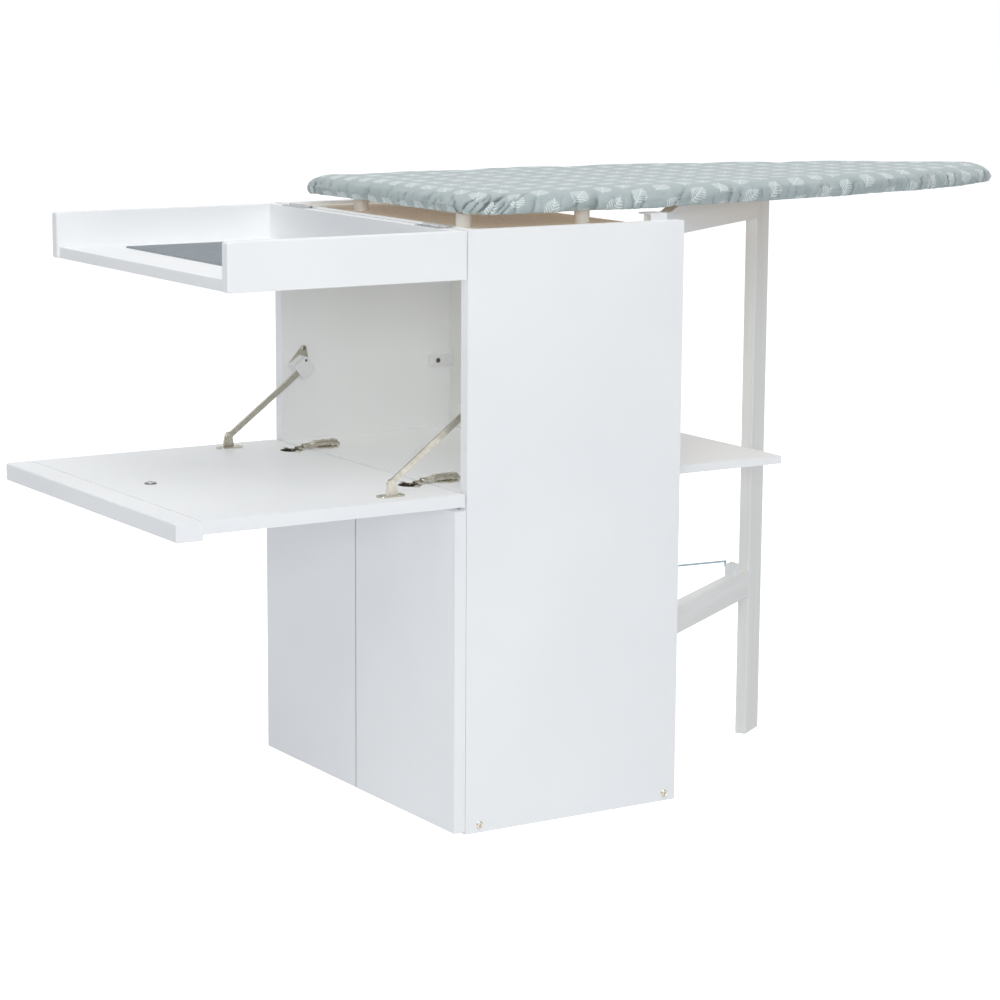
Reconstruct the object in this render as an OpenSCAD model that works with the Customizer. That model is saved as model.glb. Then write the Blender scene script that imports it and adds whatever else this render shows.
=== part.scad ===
// Ironing board cabinet: a white cupboard whose fall front and lid open to the front,
// with a padded board on top and a swing-out gate that props the board at the back.
// The origin is on the floor under the middle of the body. +X is the right side seen from the front,
// +Y runs from the front to the back, and +Z is up. The model stands opened for use.

/* [Body] */
// Width over both side panels
body_w = 560; // [520:5:640]
// Depth of the side panels
body_d = 360; // [350:5:420]
// Height of the side panels
body_h = 850; // [820:5:900]
// Thickness of the side panels
side_t = 18; // [16:1:22]
// Thickness of the bottom panel
bottom_t = 22; // [18:1:28]
// Height of the compartment floor above the ground
floor_z = 487; // [460:1:520]
// Thickness of the compartment floor
floor_t = 18; // [16:1:22]
// Thickness of the raw top panel
top_t = 16; // [12:1:18]
// How far the raw top panel lies below the side panels
top_sunk = 5; // [2:1:8]
// Height of the rail at the top of the front
front_rail_h = 60; // [50:1:70]
// Thickness of the rail at the top of the front
front_rail_t = 18; // [16:1:22]
// Thickness of the back panel
back_t = 6; // [4:1:8]
// Depth of the open recess behind the back panel
recess_d = 54; // [50:1:60]

/* [Doors] */
// Thickness of a door
door_t = 18; // [16:1:20]
// Gap between the doors and the body
door_gap = 0.8; // [0.5:0.1:1]
// Gap between the two doors
door_split = 2; // [1:0.5:4]
// Clearance under the doors
door_foot = 4; // [2:1:8]
// Clearance between the doors and the fall front above them
door_head = 6; // [5:1:10]

/* [Fall front] */
// Length of the fall front from its hinged edge to its outer edge
flap_l = 440.5; // [435:0.5:446]
// Thickness of the fall front
flap_t = 18; // [16:1:18]
// Distance of the hinge line in front of the body
flap_pivot_out = 12; // [12:0.5:14]
// Distance of the hinge line below the compartment floor
flap_pivot_down = 8; // [8:0.5:8.5]
// Gap between the open fall front and the compartment floor
flap_gap = 3.5; // [3.5:0.1:4]
// Width of the grip strip along the outer edge
grip_w = 40; // [30:1:50]
// How far the grip strip stands below the fall front
grip_drop = 8; // [5:1:10]
// Radius of the grip strip's corners
grip_r = 3; // [1:0.5:4]
// Height of the catch above the underside of the front rail
catch_up = 16; // [12:1:24]
// Sideways place of the strike button, from the middle
strike_side = -15; // [-40:1:40]

/* [Lid] */
// Height of the lid's side walls, its panel included
lid_h = 66; // [64:1:80]
// Thickness of the lid's panel
lid_panel_t = 16; // [12:1:18]
// Thickness of the lid's side walls
lid_wall_t = 18; // [16:1:18]
// Thickness of the lid's front rail
lid_rail_t = 16; // [14:1:18]
// Radius of the rounded ends of the side walls
lid_end_r = 3; // [1:0.5:5]
// Length of one lid hinge
lid_hinge_l = 64; // [50:1:80]
// Distance of each lid hinge from the middle
lid_hinge_x = 195; // [160:1:215]
// Length of the ribbed plate, front to back
plate_l = 236; // [200:1:260]
// Width of the ribbed plate
plate_w = 416; // [360:1:440]
// Thickness of the ribbed plate, ribs included
plate_t = 2.5; // [2:0.1:3]
// Distance from one rib to the next
rib_pitch = 8; // [6:0.5:10]

/* [Board] */
// Length of the board
board_l = 1140; // [1000:5:1200]
// Width of the board's square end
board_w = 500; // [440:2:510]
// Distance of the square end behind the front of the body
board_in = 22; // [20:1:30]
// Length of the stretch that keeps its full width
board_straight = 280; // [200:5:360]
// Radius of the square end's corners
board_corner_r = 45; // [30:1:60]
// Thickness of the wooden core
core_t = 10; // [8:1:12]
// Thickness of the padding on the core
pad_t = 17; // [12:1:18]
// Height of the posts that carry the board
post_h = 23; // [22:1:26]
// Diameter of the posts
post_dia = 22; // [18:1:23]
// Width of the cover's hem under the core
hem_w = 20; // [15:1:20]

/* [Gate] */
// Angle between the opened gate and the depth of the cabinet
gate_angle = 32.5; // [25:0.5:36]
// Distance from the gate's pivot to the outer edge of its leg
gate_reach = 460; // [440:1:470]
// Thickness of the gate's timber
gate_t = 18; // [16:1:18]
// Width of the leg
leg_w = 56; // [45:1:60]
// Distance of the pivot from the outer face of the right side panel
gate_pivot_in = 35; // [34:0.5:36]
// Height of the gate's rails
gate_rail_h = 43; // [35:1:55]
// Underside of the lower rail above the ground
low_rail_z = 225; // [200:1:240]
// Radius of the pivot pins
pivot_r = 4; // [3:0.1:5]

/* [Rear shelf] */
// Length of the shelf from its hinge to its free edge
shelf_l = 284; // [240:1:284]
// Width of the shelf
shelf_w = 350; // [300:1:352]
// Thickness of the shelf
shelf_t = 12; // [10:1:12]
// How far the shelf lies below the compartment floor
shelf_down = 3; // [0:1:8]
// Radius of the shelf's corner beside the leg
shelf_corner_r = 80; // [60:1:90]

/* [Hardware] */
// Diameter of a concealed hinge's cup
cup_dia = 35; // [35:0.5:36]
// Depth of a concealed hinge's cup
cup_depth = 11; // [10.5:0.1:12]
// Distance of each fall front hinge from the middle
flap_hinge_x = 175; // [140:1:190]
// Width of the stays' flat bars
bar_w = 8.5; // [6:0.5:9]
// Thickness of the stays' flat bars
bar_t = 4; // [3:0.5:5]
// Distance of each stay's foot in front of the body
stay_foot_out = 100; // [95:1:105]
// Height of the stay's guide above the compartment floor
guide_up = 113; // [110:1:116]
// Diameter of the wire hook
hook_dia = 3; // [2.5:0.1:4]
// Diameter of a body screw's head
screw_head_dia = 12; // [10:0.5:14]

/* [Hidden] */
$fn = 48;
// Clearances: moving pins in their bores, pieces that pass each other, soft pieces on their seats
pin_clear = 0.08;
slide_clear = 0.3;
soft_clear = 0.3;
cut = 1;

half_w = body_w / 2;
inner_x = half_w - side_t;
front_y = -body_d / 2;
rear_y = body_d / 2;
back_out_y = rear_y - recess_d;
back_in_y = back_out_y - back_t;

block_l = 40;
block_h = 19;
block_t = 11;
block_up = 98;
block_z = floor_z + block_up;
block_screw_in = 12;

top_z = body_h - top_sunk;
front_rail_z = body_h - front_rail_h;
screw_z = bottom_t / 2;
screw_front_y = front_y + 23;
screw_rear_y = rear_y - 19;
screw_shank_r = 2.5;
screw_l = 40;
screw_head_t = 2.4;
notch_w = 110;

door_w = half_w - 1 - door_split / 2;
door_top_z = floor_z - flap_t - door_head;
door_back_y = front_y - door_gap;
door_front_y = door_back_y - door_t;
door_axis_x = half_w - 1;
door_axis_y = front_y - door_gap / 2;
door_cup_in = 22;
door_hinge_z = [90, 370];

flap_inner_y = front_y - flap_gap;
flap_outer_y = flap_inner_y - flap_l;
flap_axis_y = front_y - flap_pivot_out;
flap_axis_z = floor_z - flap_pivot_down;
cup_out = 30;
cup_y = front_y - cup_out;
cup_wall = 1;
cup_wing_t = 1.2;
cup_wing_r = 4.5;
strike_r = 7;
strike_t = 2.5;
// The strike button lies where it meets the catch once the fall front is shut
catch_z = front_rail_z + catch_up;
strike_y = flap_axis_z + flap_axis_y - catch_z;

knuckle_r = 2.8;
hinge_pin_r = 1.2;
leaf_t = 1.2;
lid_axis_y = front_y - 1;
lid_axis_z = body_h;
lid_gap = 1;
lid_inner_y = lid_axis_y - lid_gap;
lid_outer_y = lid_inner_y - body_d - 3;
lid_rim_z = lid_axis_z - lid_gap;
lid_base_z = lid_rim_z - lid_h;
lid_floor_z = lid_base_z + lid_panel_t;
leaf_w = 15;
plate_gap_y = 27;
plate_y = lid_inner_y - lid_rail_t - plate_gap_y;
rib_h = 1.2;
rib_w = rib_pitch / 2;

core_z = top_z + post_h;
core_top_z = core_z + core_t;
pad_top_z = core_top_z + pad_t;
hem_t = 1.7;
hem_z = core_z - soft_clear - hem_t;
board_y = front_y + board_in;
taper_power = 1.3;
// Places of the posts, as [side, distance in from the board's side, distance behind its square end]
post_places = [[1, 71, 32], [-1, 112, 48], [1, 48, 215], [-1, 90, 215]];

gate_gap = 0.5;
gate_layer_y = back_out_y + 1 + shelf_t + gate_gap;
pivot_x = half_w - gate_pivot_in;
pivot_y = gate_layer_y + gate_t / 2;
stile_back = 10;
stile_w = 32;
stile_lift = 2;
stile_bottom_z = bottom_t + stile_lift;
gate_top_z = hem_z - 0.4;
stile_drop = 8;
stile_top_z = gate_top_z - stile_drop;
leg_in = gate_reach - leg_w;
stile_end = stile_w - stile_back;
pivot_bore_l = 25;
bracket_t = 2;
bracket_w = 28;

shelf_gap = 0.5;
shelf_top_z = floor_z - shelf_down;
shelf_axis_y = back_out_y + shelf_gap;
shelf_axis_z = shelf_top_z + shelf_gap;
shelf_right_x = half_w - 60;
shelf_left_x = shelf_right_x - shelf_w;
shelf_hinge_l = 50;
shelf_hinge_x = [shelf_right_x - 60, shelf_left_x + 60];
shelf_knuckle_r = 2;
shelf_pin_r = 0.9;
shelf_leaf_t = 0.9;
shelf_leaf_w = 16;

// Distance of the keeper's middle from the leg
keeper_in = 51;
keeper_d = leg_in - keeper_in;
keeper_l = 18;
keeper_h = 18;
keeper_screw_h = 3;
keeper_screw_r = 4;
keeper_z = low_rail_z + gate_rail_h;
hook_z = keeper_z + keeper_h + 3;
hook_rise = 14;
hook_side = 12;
hook_bend_r = hook_dia / 2 + 0.12;
hook_bend_l = 2;
hook_barrel_l = 12;
hook_barrel_r = hook_dia / 2 + 2;
hook_plate_w = 16;
hook_plate_t = 1.5;
hook_plate_lip = 5;
// The wire's pin goes down through the barrel, and its tip down beside the keeper
hook_pin_l = hook_barrel_l + hook_bend_l + hook_dia / 2;
hook_tip_l = 9;
hook_in = 205;
hook_x = half_w - hook_in;
hook_y = back_out_y + 5;
hook_end_x = pivot_x - keeper_d * sin(gate_angle) - hook_side * cos(gate_angle);
hook_end_y = pivot_y + keeper_d * cos(gate_angle) - hook_side * sin(gate_angle);
hook_run = norm([hook_end_x - hook_x, hook_end_y - hook_y]);
hook_turn = atan2(hook_end_y - hook_y, hook_end_x - hook_x);

rod_x = inner_x - 20;
rod_l = 163;
rod_eye_r = 6;
rod_pin_r = 2.5;
foot_y = front_y - stay_foot_out;
foot_z = floor_z + 18;
guide_y = front_y + 28;
guide_z = floor_z + guide_up;
rod_tilt = atan2(guide_z - foot_z, guide_y - foot_y);
bar_edge_r = 1;
guide_w = 26;
guide_front_t = 2.6;
guide_plate_t = 2;
guide_screw_y = 10;
guide_screw_z = 27;
foot_plate_l = 43;
foot_plate_w = 20;
foot_plate_t = 2;
ear_t = 2.5;

// A box between two corners
module block(low, high) {
    translate(low) cube(high - low);
}

// A round bar along X between two places
module bar_x(x0, x1, y, z, r) {
    translate([x0, y, z]) rotate([0, 90, 0]) cylinder(h = x1 - x0, r = r);
}

// A box along X whose four long edges are rounded
module rounded_bar_x(x0, x1, y0, y1, z0, z1, r) {
    translate([x0, 0, 0]) rotate([90, 0, 90]) linear_extrude(x1 - x0)
        hull() for (y = [y0 + r, y1 - r], z = [z0 + r, z1 - r]) translate([y, z]) circle(r = r, $fn = 32);
}

// Places of the body screws, as [side, distance along Y]
function screw_places() = [
    [1, screw_front_y], [1, screw_rear_y],
    [-1, screw_front_y], [-1, back_out_y - 20]
];

module screw_bores(side) {
    for (p = screw_places()) if (p[0] == side)
        bar_x(side * half_w - screw_l - cut, side * half_w + screw_l + cut, p[1], screw_z, screw_shank_r);
}

module side_panel(side) {
    low_x = side > 0 ? inner_x : -half_w;
    difference() {
        block([low_x, front_y, 0], [low_x + side_t, rear_y, body_h]);
        screw_bores(side);
    }
}

module side_panel_right() color("#e4e6e8") side_panel(1);

module side_panel_left() color("#e4e6e8") side_panel(-1);

module bottom_panel() color("#dcdee0") difference() {
    block([-inner_x, front_y, 0], [inner_x, rear_y, bottom_t]);
    block([-inner_x - cut, back_out_y, -cut], [-inner_x + notch_w, rear_y + cut, bottom_t + cut]);
    screw_bores(1);
    screw_bores(-1);
    translate([pivot_x, pivot_y, -cut]) cylinder(h = bottom_t + 2 * cut, r = pivot_r);
}

module compartment_floor() color("#dfe2e2")
    block([-inner_x, front_y, floor_z - floor_t], [inner_x, back_in_y, floor_z]);

module top_panel() color("#8a7355")
    block([-inner_x, front_y + front_rail_t, top_z - top_t], [inner_x, back_out_y, top_z]);

// Bores for the lid's hinge barrels, all along each hinge
module barrel_groove() {
    for (s = [-1, 1])
        bar_x(s * lid_hinge_x - lid_hinge_l / 2 - cut, s * lid_hinge_x + lid_hinge_l / 2 + cut,
              lid_axis_y, lid_axis_z, knuckle_r + slide_clear);
}

module top_front_rail() color("#e4e6e8") difference() {
    block([-inner_x, front_y, front_rail_z], [inner_x, front_y + front_rail_t, body_h]);
    barrel_groove();
    for (s = [-1, 1])
        block([s * lid_hinge_x - lid_hinge_l / 2, front_y - cut, body_h - leaf_t],
              [s * lid_hinge_x + lid_hinge_l / 2, lid_axis_y + leaf_w, body_h + cut]);
    translate([strike_side, front_y - cut, catch_z]) rotate([-90, 0, 0]) cylinder(h = 9 + cut, r = strike_r);
}

module back_panel() color("#d6d8d8") difference() {
    block([-inner_x, back_in_y, bottom_t], [inner_x, back_out_y, top_z - top_t]);
    shelf_mortises();
}

// A white plastic block in the compartment's rear corner, held by one screw
module corner_block() color("white") {
    difference() {
        block([-inner_x, back_in_y - block_l, block_z], [-inner_x + block_t, back_in_y, block_z + block_h]);
        bar_x(-inner_x + block_t - 2, -inner_x + block_t + cut, back_in_y - block_l + block_screw_in,
              block_z + block_h / 2, 3.2);
    }
}

module body_screws() color("silver")
    for (p = screw_places()) {
        shank_x = p[0] > 0 ? half_w - screw_l : -half_w;
        difference() {
            translate([p[0] * half_w, p[1], screw_z]) rotate([0, p[0] * 90, 0])
                cylinder(h = screw_head_t, r1 = screw_head_dia / 2, r2 = screw_head_dia / 2 - 1.6);
            for (a = [0, 90]) translate([p[0] * (half_w + screw_head_t), p[1], screw_z]) rotate([a, 0, 0])
                cube([3, 7, 1.4], center = true);
        }
        bar_x(shank_x, shank_x + screw_l, p[1], screw_z, screw_shank_r);
    }

module catch_magnet() color("silver") translate([strike_side, front_y - 1, catch_z]) rotate([-90, 0, 0])
    cylinder(h = 10, r = strike_r);

module board_posts() color("white")
    for (p = post_places) translate([p[0] * (board_w / 2 - p[1]), board_y + p[2], top_z])
        cylinder(h = post_h, r = post_dia / 2);

// Half the board's width at a distance from its square end
function taper(t) = pow(max(0, 1 - pow(t, taper_power)), 0.5);
function half_width(s) = s <= board_straight ? board_w / 2
    : board_w / 2 * taper((s - board_straight) / (board_l - board_straight));

// The board's outline: one rounded corner, the straight side, then the taper to the nose
corner_steps = 6;
straight_steps = 2;
taper_steps = 20;
function side_outline() = concat(
    [for (i = [0:corner_steps]) let (a = 90 * i / corner_steps)
        [board_w / 2 - board_corner_r + board_corner_r * sin(a), board_corner_r - board_corner_r * cos(a)]],
    [for (i = [1:straight_steps]) let (s = board_corner_r
        + (board_straight - board_corner_r) * i / (straight_steps + 1)) [half_width(s), s]],
    [for (i = [0:taper_steps]) let (t = 1 - pow(1 - i / taper_steps, 2),
        s = board_straight + (board_l - board_straight) * min(t, 0.9985)) [half_width(s), s]]);

// The outline drawn in by a distance, along the normal at each point
function unit(v) = v / max(norm(v), 0.001);
function drawn_in(pts, d) = let (n = len(pts)) [for (i = [0:n - 1]) let (
        before = i == 0 ? [-pts[0][0], pts[0][1]] : pts[i - 1],
        after = i == n - 1 ? [-pts[n - 1][0], pts[n - 1][1]] : pts[i + 1],
        along = unit(after - before),
        q = pts[i] + d * [-along[1], along[0]])
    [max(q[0], 0.5), q[1]]];

// A closed ring of the board, at a height: the right side and then the left side back again
function ring(d, z) = let (s = drawn_in(side_outline(), d), n = len(s)) concat(
    [for (p = s) [p[0], board_y + p[1], z]],
    [for (i = [n - 1:-1:0]) [-s[i][0], board_y + s[i][1], z]]);

module board_core() color("#b9905f") translate([0, 0, core_z]) linear_extrude(core_t)
    polygon([for (p = ring(3, 0)) [p[0], p[1]]]);

// The padded cover: crown, drawn-in edge, hem under the core and the pocket that the core fills
module board_cover() {
    rings = [
        ring(hem_w, core_z - soft_clear), ring(hem_w, hem_z), ring(5, hem_z), ring(0.5, hem_z + 3),
        ring(0, core_z + 6), ring(1, core_top_z + 5), ring(6, pad_top_z - 4), ring(16, pad_top_z - 1),
        ring(60, pad_top_z)];
    pocket = [ring(3 - soft_clear, core_z - soft_clear), ring(3 - soft_clear, core_top_z + soft_clear)];
    all = concat([pocket[1]], [pocket[0]], rings);
    n = len(all[0]);
    k = len(all);
    half = n / 2;
    pts = [for (r = all) for (p = r) p];
    walls = [for (j = [0:k - 2]) for (i = [0:n - 1]) let (a = j * n + i, b = j * n + (i + 1) % n)
        each [[a, b, b + n], [a, b + n, a + n]]];
    lids = [for (base = [0, (k - 1) * n]) for (i = [0:half - 2]) let (
            a = base + i, b = base + i + 1, c = base + n - 2 - i, d = base + n - 1 - i)
        each base == 0 ? [[a, c, b], [a, d, c]] : [[a, b, c], [a, c, d]]];
    color("#a9b7b6") polyhedron(points = pts, faces = [for (f = concat(walls, lids)) [f[0], f[2], f[1]]]);
}

// One leaf of a lid hinge with its barrel pieces; dir is 1 behind the pin and -1 in front of it
module lid_leaf(dir, spans) {
    for (s = [-1, 1]) difference() {
        union() {
            block([s * lid_hinge_x - lid_hinge_l / 2, min(dir * leaf_w, dir * 2) + lid_axis_y, body_h - leaf_t],
                  [s * lid_hinge_x + lid_hinge_l / 2, max(dir * leaf_w, dir * 2) + lid_axis_y, body_h]);
            for (sp = spans) {
                x0 = s * lid_hinge_x - lid_hinge_l / 2 + sp[0] * lid_hinge_l;
                x1 = s * lid_hinge_x - lid_hinge_l / 2 + sp[1] * lid_hinge_l;
                bar_x(x0, x1, lid_axis_y, lid_axis_z, knuckle_r);
                block([x0, min(0, dir * 3) + lid_axis_y, body_h - leaf_t],
                      [x1, max(0, dir * 3) + lid_axis_y, body_h]);
            }
        }
        for (sp = other_spans(spans)) {
            x0 = s * lid_hinge_x - lid_hinge_l / 2 + sp[0] * lid_hinge_l - slide_clear;
            x1 = s * lid_hinge_x - lid_hinge_l / 2 + sp[1] * lid_hinge_l + slide_clear;
            bar_x(x0, x1, lid_axis_y, lid_axis_z, knuckle_r + slide_clear);
        }
        bar_x(s * lid_hinge_x - lid_hinge_l, s * lid_hinge_x + lid_hinge_l, lid_axis_y, lid_axis_z,
              hinge_pin_r + pin_clear);
    }
}

outer_spans = [[0, 0.3], [0.7, 1]];
middle_span = [[0.3, 0.7]];
function other_spans(spans) = len(spans) == 1 ? outer_spans : middle_span;

module lid_hinge_fixed_leaves() color("#b9bcc0") lid_leaf(1, outer_spans);

module lid_hinge_moving_leaves() color("#b9bcc0") lid_leaf(-1, middle_span);

module lid_hinge_pins() color("#9a9da2") for (s = [-1, 1])
    bar_x(s * lid_hinge_x - lid_hinge_l / 2, s * lid_hinge_x + lid_hinge_l / 2, lid_axis_y, lid_axis_z,
          hinge_pin_r);

// The fixed half of a concealed hinge, lying along +Y from a link that reaches over the moving panel
link_w = 14;
link_t = 9;
arm_l = 50;
link_reach = 10;
module hinge_arm() {
    plate_t = 2;
    block([-12, 12, 0], [12, 44, plate_t]);
    difference() {
        block([-8, 2, plate_t], [8, arm_l, 13]);
        block([-6, -cut, -cut], [6, arm_l - 4, 11]);
        translate([0, 26, 0]) cylinder(h = 20, r = 2.2);
        translate([0, 40, 0]) cylinder(h = 20, r = 2.2);
    }
    block([-link_w / 2, -link_reach, slide_clear], [link_w / 2, 4, link_t]);
    for (y = [26, 40]) translate([0, y, plate_t]) cylinder(h = 11, r = 2);
}

module flap_hinge_arms() color("#b7b3aa")
    for (s = [-1, 1]) translate([s * flap_hinge_x, front_y, floor_z]) hinge_arm();

// The cup half of a concealed hinge, sunk below z = 0, with its wings along X
module hinge_cup() {
    difference() {
        union() {
            translate([0, 0, -cup_depth]) cylinder(h = cup_depth, r = cup_dia / 2);
            for (s = [-1, 1]) translate([s * (cup_dia / 2 + 2), 0, 0]) cylinder(h = cup_wing_t, r = cup_wing_r);
        }
        translate([0, 0, cup_wall - cup_depth]) cylinder(h = cup_depth + cut, r = cup_dia / 2 - cup_wall);
        for (s = [-1, 1]) translate([s * (cup_dia / 2 + 3), 0, cup_wing_t / 3]) cylinder(h = cut, r = 1.6);
    }
}

module cup_bore() {
    translate([0, 0, -cup_depth]) cylinder(h = cup_depth + cut, r = cup_dia / 2);
}

module flap_cups() {
    for (s = [-1, 1]) translate([s * flap_hinge_x, cup_y, floor_z]) children();
}

module flap_hinge_cups() color("#6f6d68") flap_cups() hinge_cup();

module flap_panel() color("#e2e5e6") difference() {
    block([-half_w, flap_outer_y + grip_w, floor_z - flap_t], [half_w, flap_inner_y, floor_z]);
    flap_cups() cup_bore();
}

module flap_grip() color("#dadcdf") rounded_bar_x(-half_w, half_w, flap_outer_y, flap_outer_y + grip_w,
    floor_z - flap_t - grip_drop, floor_z, grip_r);

module strike_button() color("silver") translate([strike_side, strike_y, floor_z]) difference() {
    cylinder(h = strike_t, r = strike_r);
    for (a = [0, 90]) translate([0, 0, strike_t]) rotate([0, 0, a]) cube([7, 1.4, 2], center = true);
}

// Stays: a foot on the fall front, a flat bar, and a guide on the side panel
ear_x = bar_t / 2 + slide_clear;
module stay_feet() color("#b7b3aa") for (s = [-1, 1]) translate([s * rod_x, foot_y, 0]) mirror([s < 0 ? 1 : 0, 0, 0]) {
    difference() {
        translate([0, 0, floor_z]) linear_extrude(foot_plate_t) hull()
            for (y = [-1, 1]) translate([0, y * (foot_plate_l - foot_plate_w) / 2]) circle(r = foot_plate_w / 2);
        for (y = [-1, 1]) translate([0, y * (foot_plate_l / 2 - 7), floor_z + foot_plate_t - 0.8])
            cylinder(h = cut, r = 3);
    }
    difference() {
        hull() {
            block([ear_x, -rod_eye_r - 3, floor_z + foot_plate_t], [ear_x + ear_t, rod_eye_r + 3, floor_z + 4]);
            bar_x(ear_x, ear_x + ear_t, 0, foot_z, rod_eye_r);
        }
        bar_x(ear_x - cut, ear_x + ear_t + cut, 0, foot_z, rod_pin_r);
    }
    bar_x(-bar_t / 2 - 1.5, ear_x + ear_t, 0, foot_z, rod_pin_r);
    bar_x(-bar_t / 2 - 1.5, -bar_t / 2 - slide_clear, 0, foot_z, rod_pin_r + 1.5);
}

module stay_bars() color("#c9c6bf") for (s = [-1, 1]) translate([s * rod_x, foot_y, foot_z]) rotate([rod_tilt, 0, 0])
    difference() {
        union() {
            bar_x(-bar_t / 2, bar_t / 2, 0, 0, rod_eye_r);
            rounded_bar_x(-bar_t / 2, bar_t / 2, 0, rod_l, -bar_w / 2, bar_w / 2, bar_edge_r);
        }
        bar_x(-bar_t, bar_t, 0, 0, rod_pin_r + pin_clear);
    }

// The guide's plastic case is open towards the top front, where the bar leaves it as the fall front shuts
module stay_guides() color("white") for (s = [-1, 1]) translate([s * rod_x, guide_y, guide_z])
    mirror([s < 0 ? 1 : 0, 0, 0]) rotate([rod_tilt, 0, 0]) {
        half = guide_w / 2;
        rounded_bar_x(ear_x, inner_x - guide_plate_t - rod_x, -half, half, -half, half, 2);
        rounded_bar_x(-ear_x - guide_front_t, -ear_x, -half, half, -half, half, 2);
        block([-ear_x - guide_front_t, -4, -half], [ear_x + 1, half - 2, -half + 3.5]);
    }

module stay_guide_plates() color("#b7b3aa") for (s = [-1, 1]) translate([s * rod_x, guide_y, guide_z])
    mirror([s < 0 ? 1 : 0, 0, 0]) {
        plate_x = inner_x - guide_plate_t - rod_x;
        hull() for (p = [[guide_screw_y, guide_screw_z, 5], [-9, 4, 6], [13, -2, 6]])
            bar_x(plate_x, plate_x + guide_plate_t, p[0], p[1], p[2]);
        bar_x(plate_x - 1.5, plate_x, guide_screw_y, guide_screw_z, 3.2);
    }

// Doors and their concealed hinges
module door_hinge_places(side) {
    for (z = door_hinge_z)
        translate([side * (half_w - 1 - door_cup_in), door_back_y, z]) rotate([-90, 0, 0]) children();
}

module door(side) difference() {
    low_x = side > 0 ? door_split / 2 : -half_w + 1;
    block([low_x, door_front_y, door_foot], [low_x + door_w, door_back_y, door_top_z]);
    door_hinge_places(side) cup_bore();
}

module door_right() color("#c6c7cb") door(1);

module door_left() color("#c6c7cb") door(-1);

module door_cups(side) door_hinge_places(side) rotate([0, 0, 90]) hinge_cup();

module door_right_hinge_cups() color("#8d8b86") door_cups(1);

module door_left_hinge_cups() color("#8d8b86") door_cups(-1);

module door_hinge_arms() color("#b7b3aa") for (s = [-1, 1], z = door_hinge_z) {
    low = inner_x - 14;
    high = inner_x - 2;
    x0 = s > 0 ? low : -high;
    plate_x0 = s > 0 ? high : -inner_x;
    block([x0, front_y + 2, z - 8], [x0 + 12, front_y + arm_l, z + 8]);
    block([plate_x0, front_y + 14, z - 15], [plate_x0 + 2, front_y + 46, z + 15]);
    block([x0, front_y - 7, z - link_w / 2], [x0 + 12, front_y + 2, z + link_w / 2]);
}

module door_push_catches() color("#d9d9d9") for (s = [-1, 1]) {
    block([s * 30 - 8, front_y + 6, floor_z - floor_t - 14], [s * 30 + 8, front_y + 60, floor_z - floor_t]);
    translate([s * 30, front_y - door_gap + slide_clear, floor_z - floor_t - 10]) rotate([-90, 0, 0])
        cylinder(h = 6 + door_gap - slide_clear, r = 3);
}

// Lid, turned over to the front so that its panel is a tray
module lid_wall(side) {
    low_x = side > 0 ? half_w - lid_wall_t : -half_w;
    rounded_bar_y(low_x, low_x + lid_wall_t, lid_outer_y, lid_inner_y, lid_base_z, lid_rim_z);
}

// A board along Y, its outer end rounded in the upright plane and across its thickness
module rounded_bar_y(x0, x1, y0, y1, z0, z1) {
    r = lid_end_r;
    hull() {
        block([x0, y1 - 1, z0], [x1, y1, z1]);
        for (x = [x0 + r, x1 - r], z = [z0 + r, z1 - r]) translate([x, y0 + r, z]) sphere(r = r, $fn = 24);
        for (x = [x0 + r, x1 - r]) translate([x, y0 + r, z0 + r]) cylinder(h = z1 - z0 - 2 * r, r = r, $fn = 24);
        block([x0, y0 + 3 * r, z0], [x1, y1, z1]);
    }
}

module lid_wall_right() color("#eceeef") lid_wall(1);

module lid_wall_left() color("#eceeef") lid_wall(-1);

module lid_panel() color("#e6e9ea") block([-half_w + lid_wall_t, lid_outer_y + 4, lid_base_z],
    [half_w - lid_wall_t, lid_inner_y - lid_rail_t, lid_floor_z]);

module lid_rail() color("#eceeef") difference() {
    block([-half_w + lid_wall_t, lid_inner_y - lid_rail_t, lid_base_z],
          [half_w - lid_wall_t, lid_inner_y, lid_rim_z]);
    barrel_groove();
    for (s = [-1, 1])
        block([s * lid_hinge_x - lid_hinge_l / 2, lid_axis_y - leaf_w, body_h - leaf_t],
              [s * lid_hinge_x + lid_hinge_l / 2, lid_inner_y + cut, body_h + cut]);
}

rib_count = floor((plate_w - rib_w) / rib_pitch);
module heat_plate() color("#8f979b") {
    first = -rib_count * rib_pitch / 2;
    translate([0, plate_y, lid_floor_z]) rotate([90, 0, 0]) linear_extrude(plate_l) union() {
        translate([-plate_w / 2, 0]) square([plate_w, plate_t - rib_h]);
        for (i = [0:rib_count]) translate([first + i * rib_pitch - rib_w / 2, 0]) square([rib_w, plate_t]);
    }
}

// Gate: drawn along +Y from its pivot, then turned out to the left
module at_gate() {
    translate([pivot_x, pivot_y, 0]) rotate([0, 0, gate_angle]) children();
}

module gate_leg() color("#c9cacd") at_gate()
    block([-gate_t / 2, leg_in, 0], [gate_t / 2, gate_reach, gate_top_z]);

module gate_stile() color("#c9cacd") at_gate() difference() {
    block([-gate_t / 2, -stile_back, stile_bottom_z], [gate_t / 2, stile_end, stile_top_z]);
    translate([0, 0, stile_bottom_z - cut]) cylinder(h = pivot_bore_l + cut, r = pivot_r + pin_clear);
    translate([0, 0, stile_top_z - pivot_bore_l]) cylinder(h = pivot_bore_l + cut, r = pivot_r + pin_clear);
}

module gate_upper_rail() color("#c1c1bf") at_gate() translate([-gate_t / 2, 0, 0]) rotate([90, 0, 90])
    linear_extrude(gate_t) polygon([
        [stile_end, gate_top_z - gate_rail_h], [leg_in, gate_top_z - gate_rail_h], [leg_in, gate_top_z],
        [stile_end + 60, gate_top_z], [stile_end + 30, stile_top_z], [stile_end, stile_top_z]]);

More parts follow.
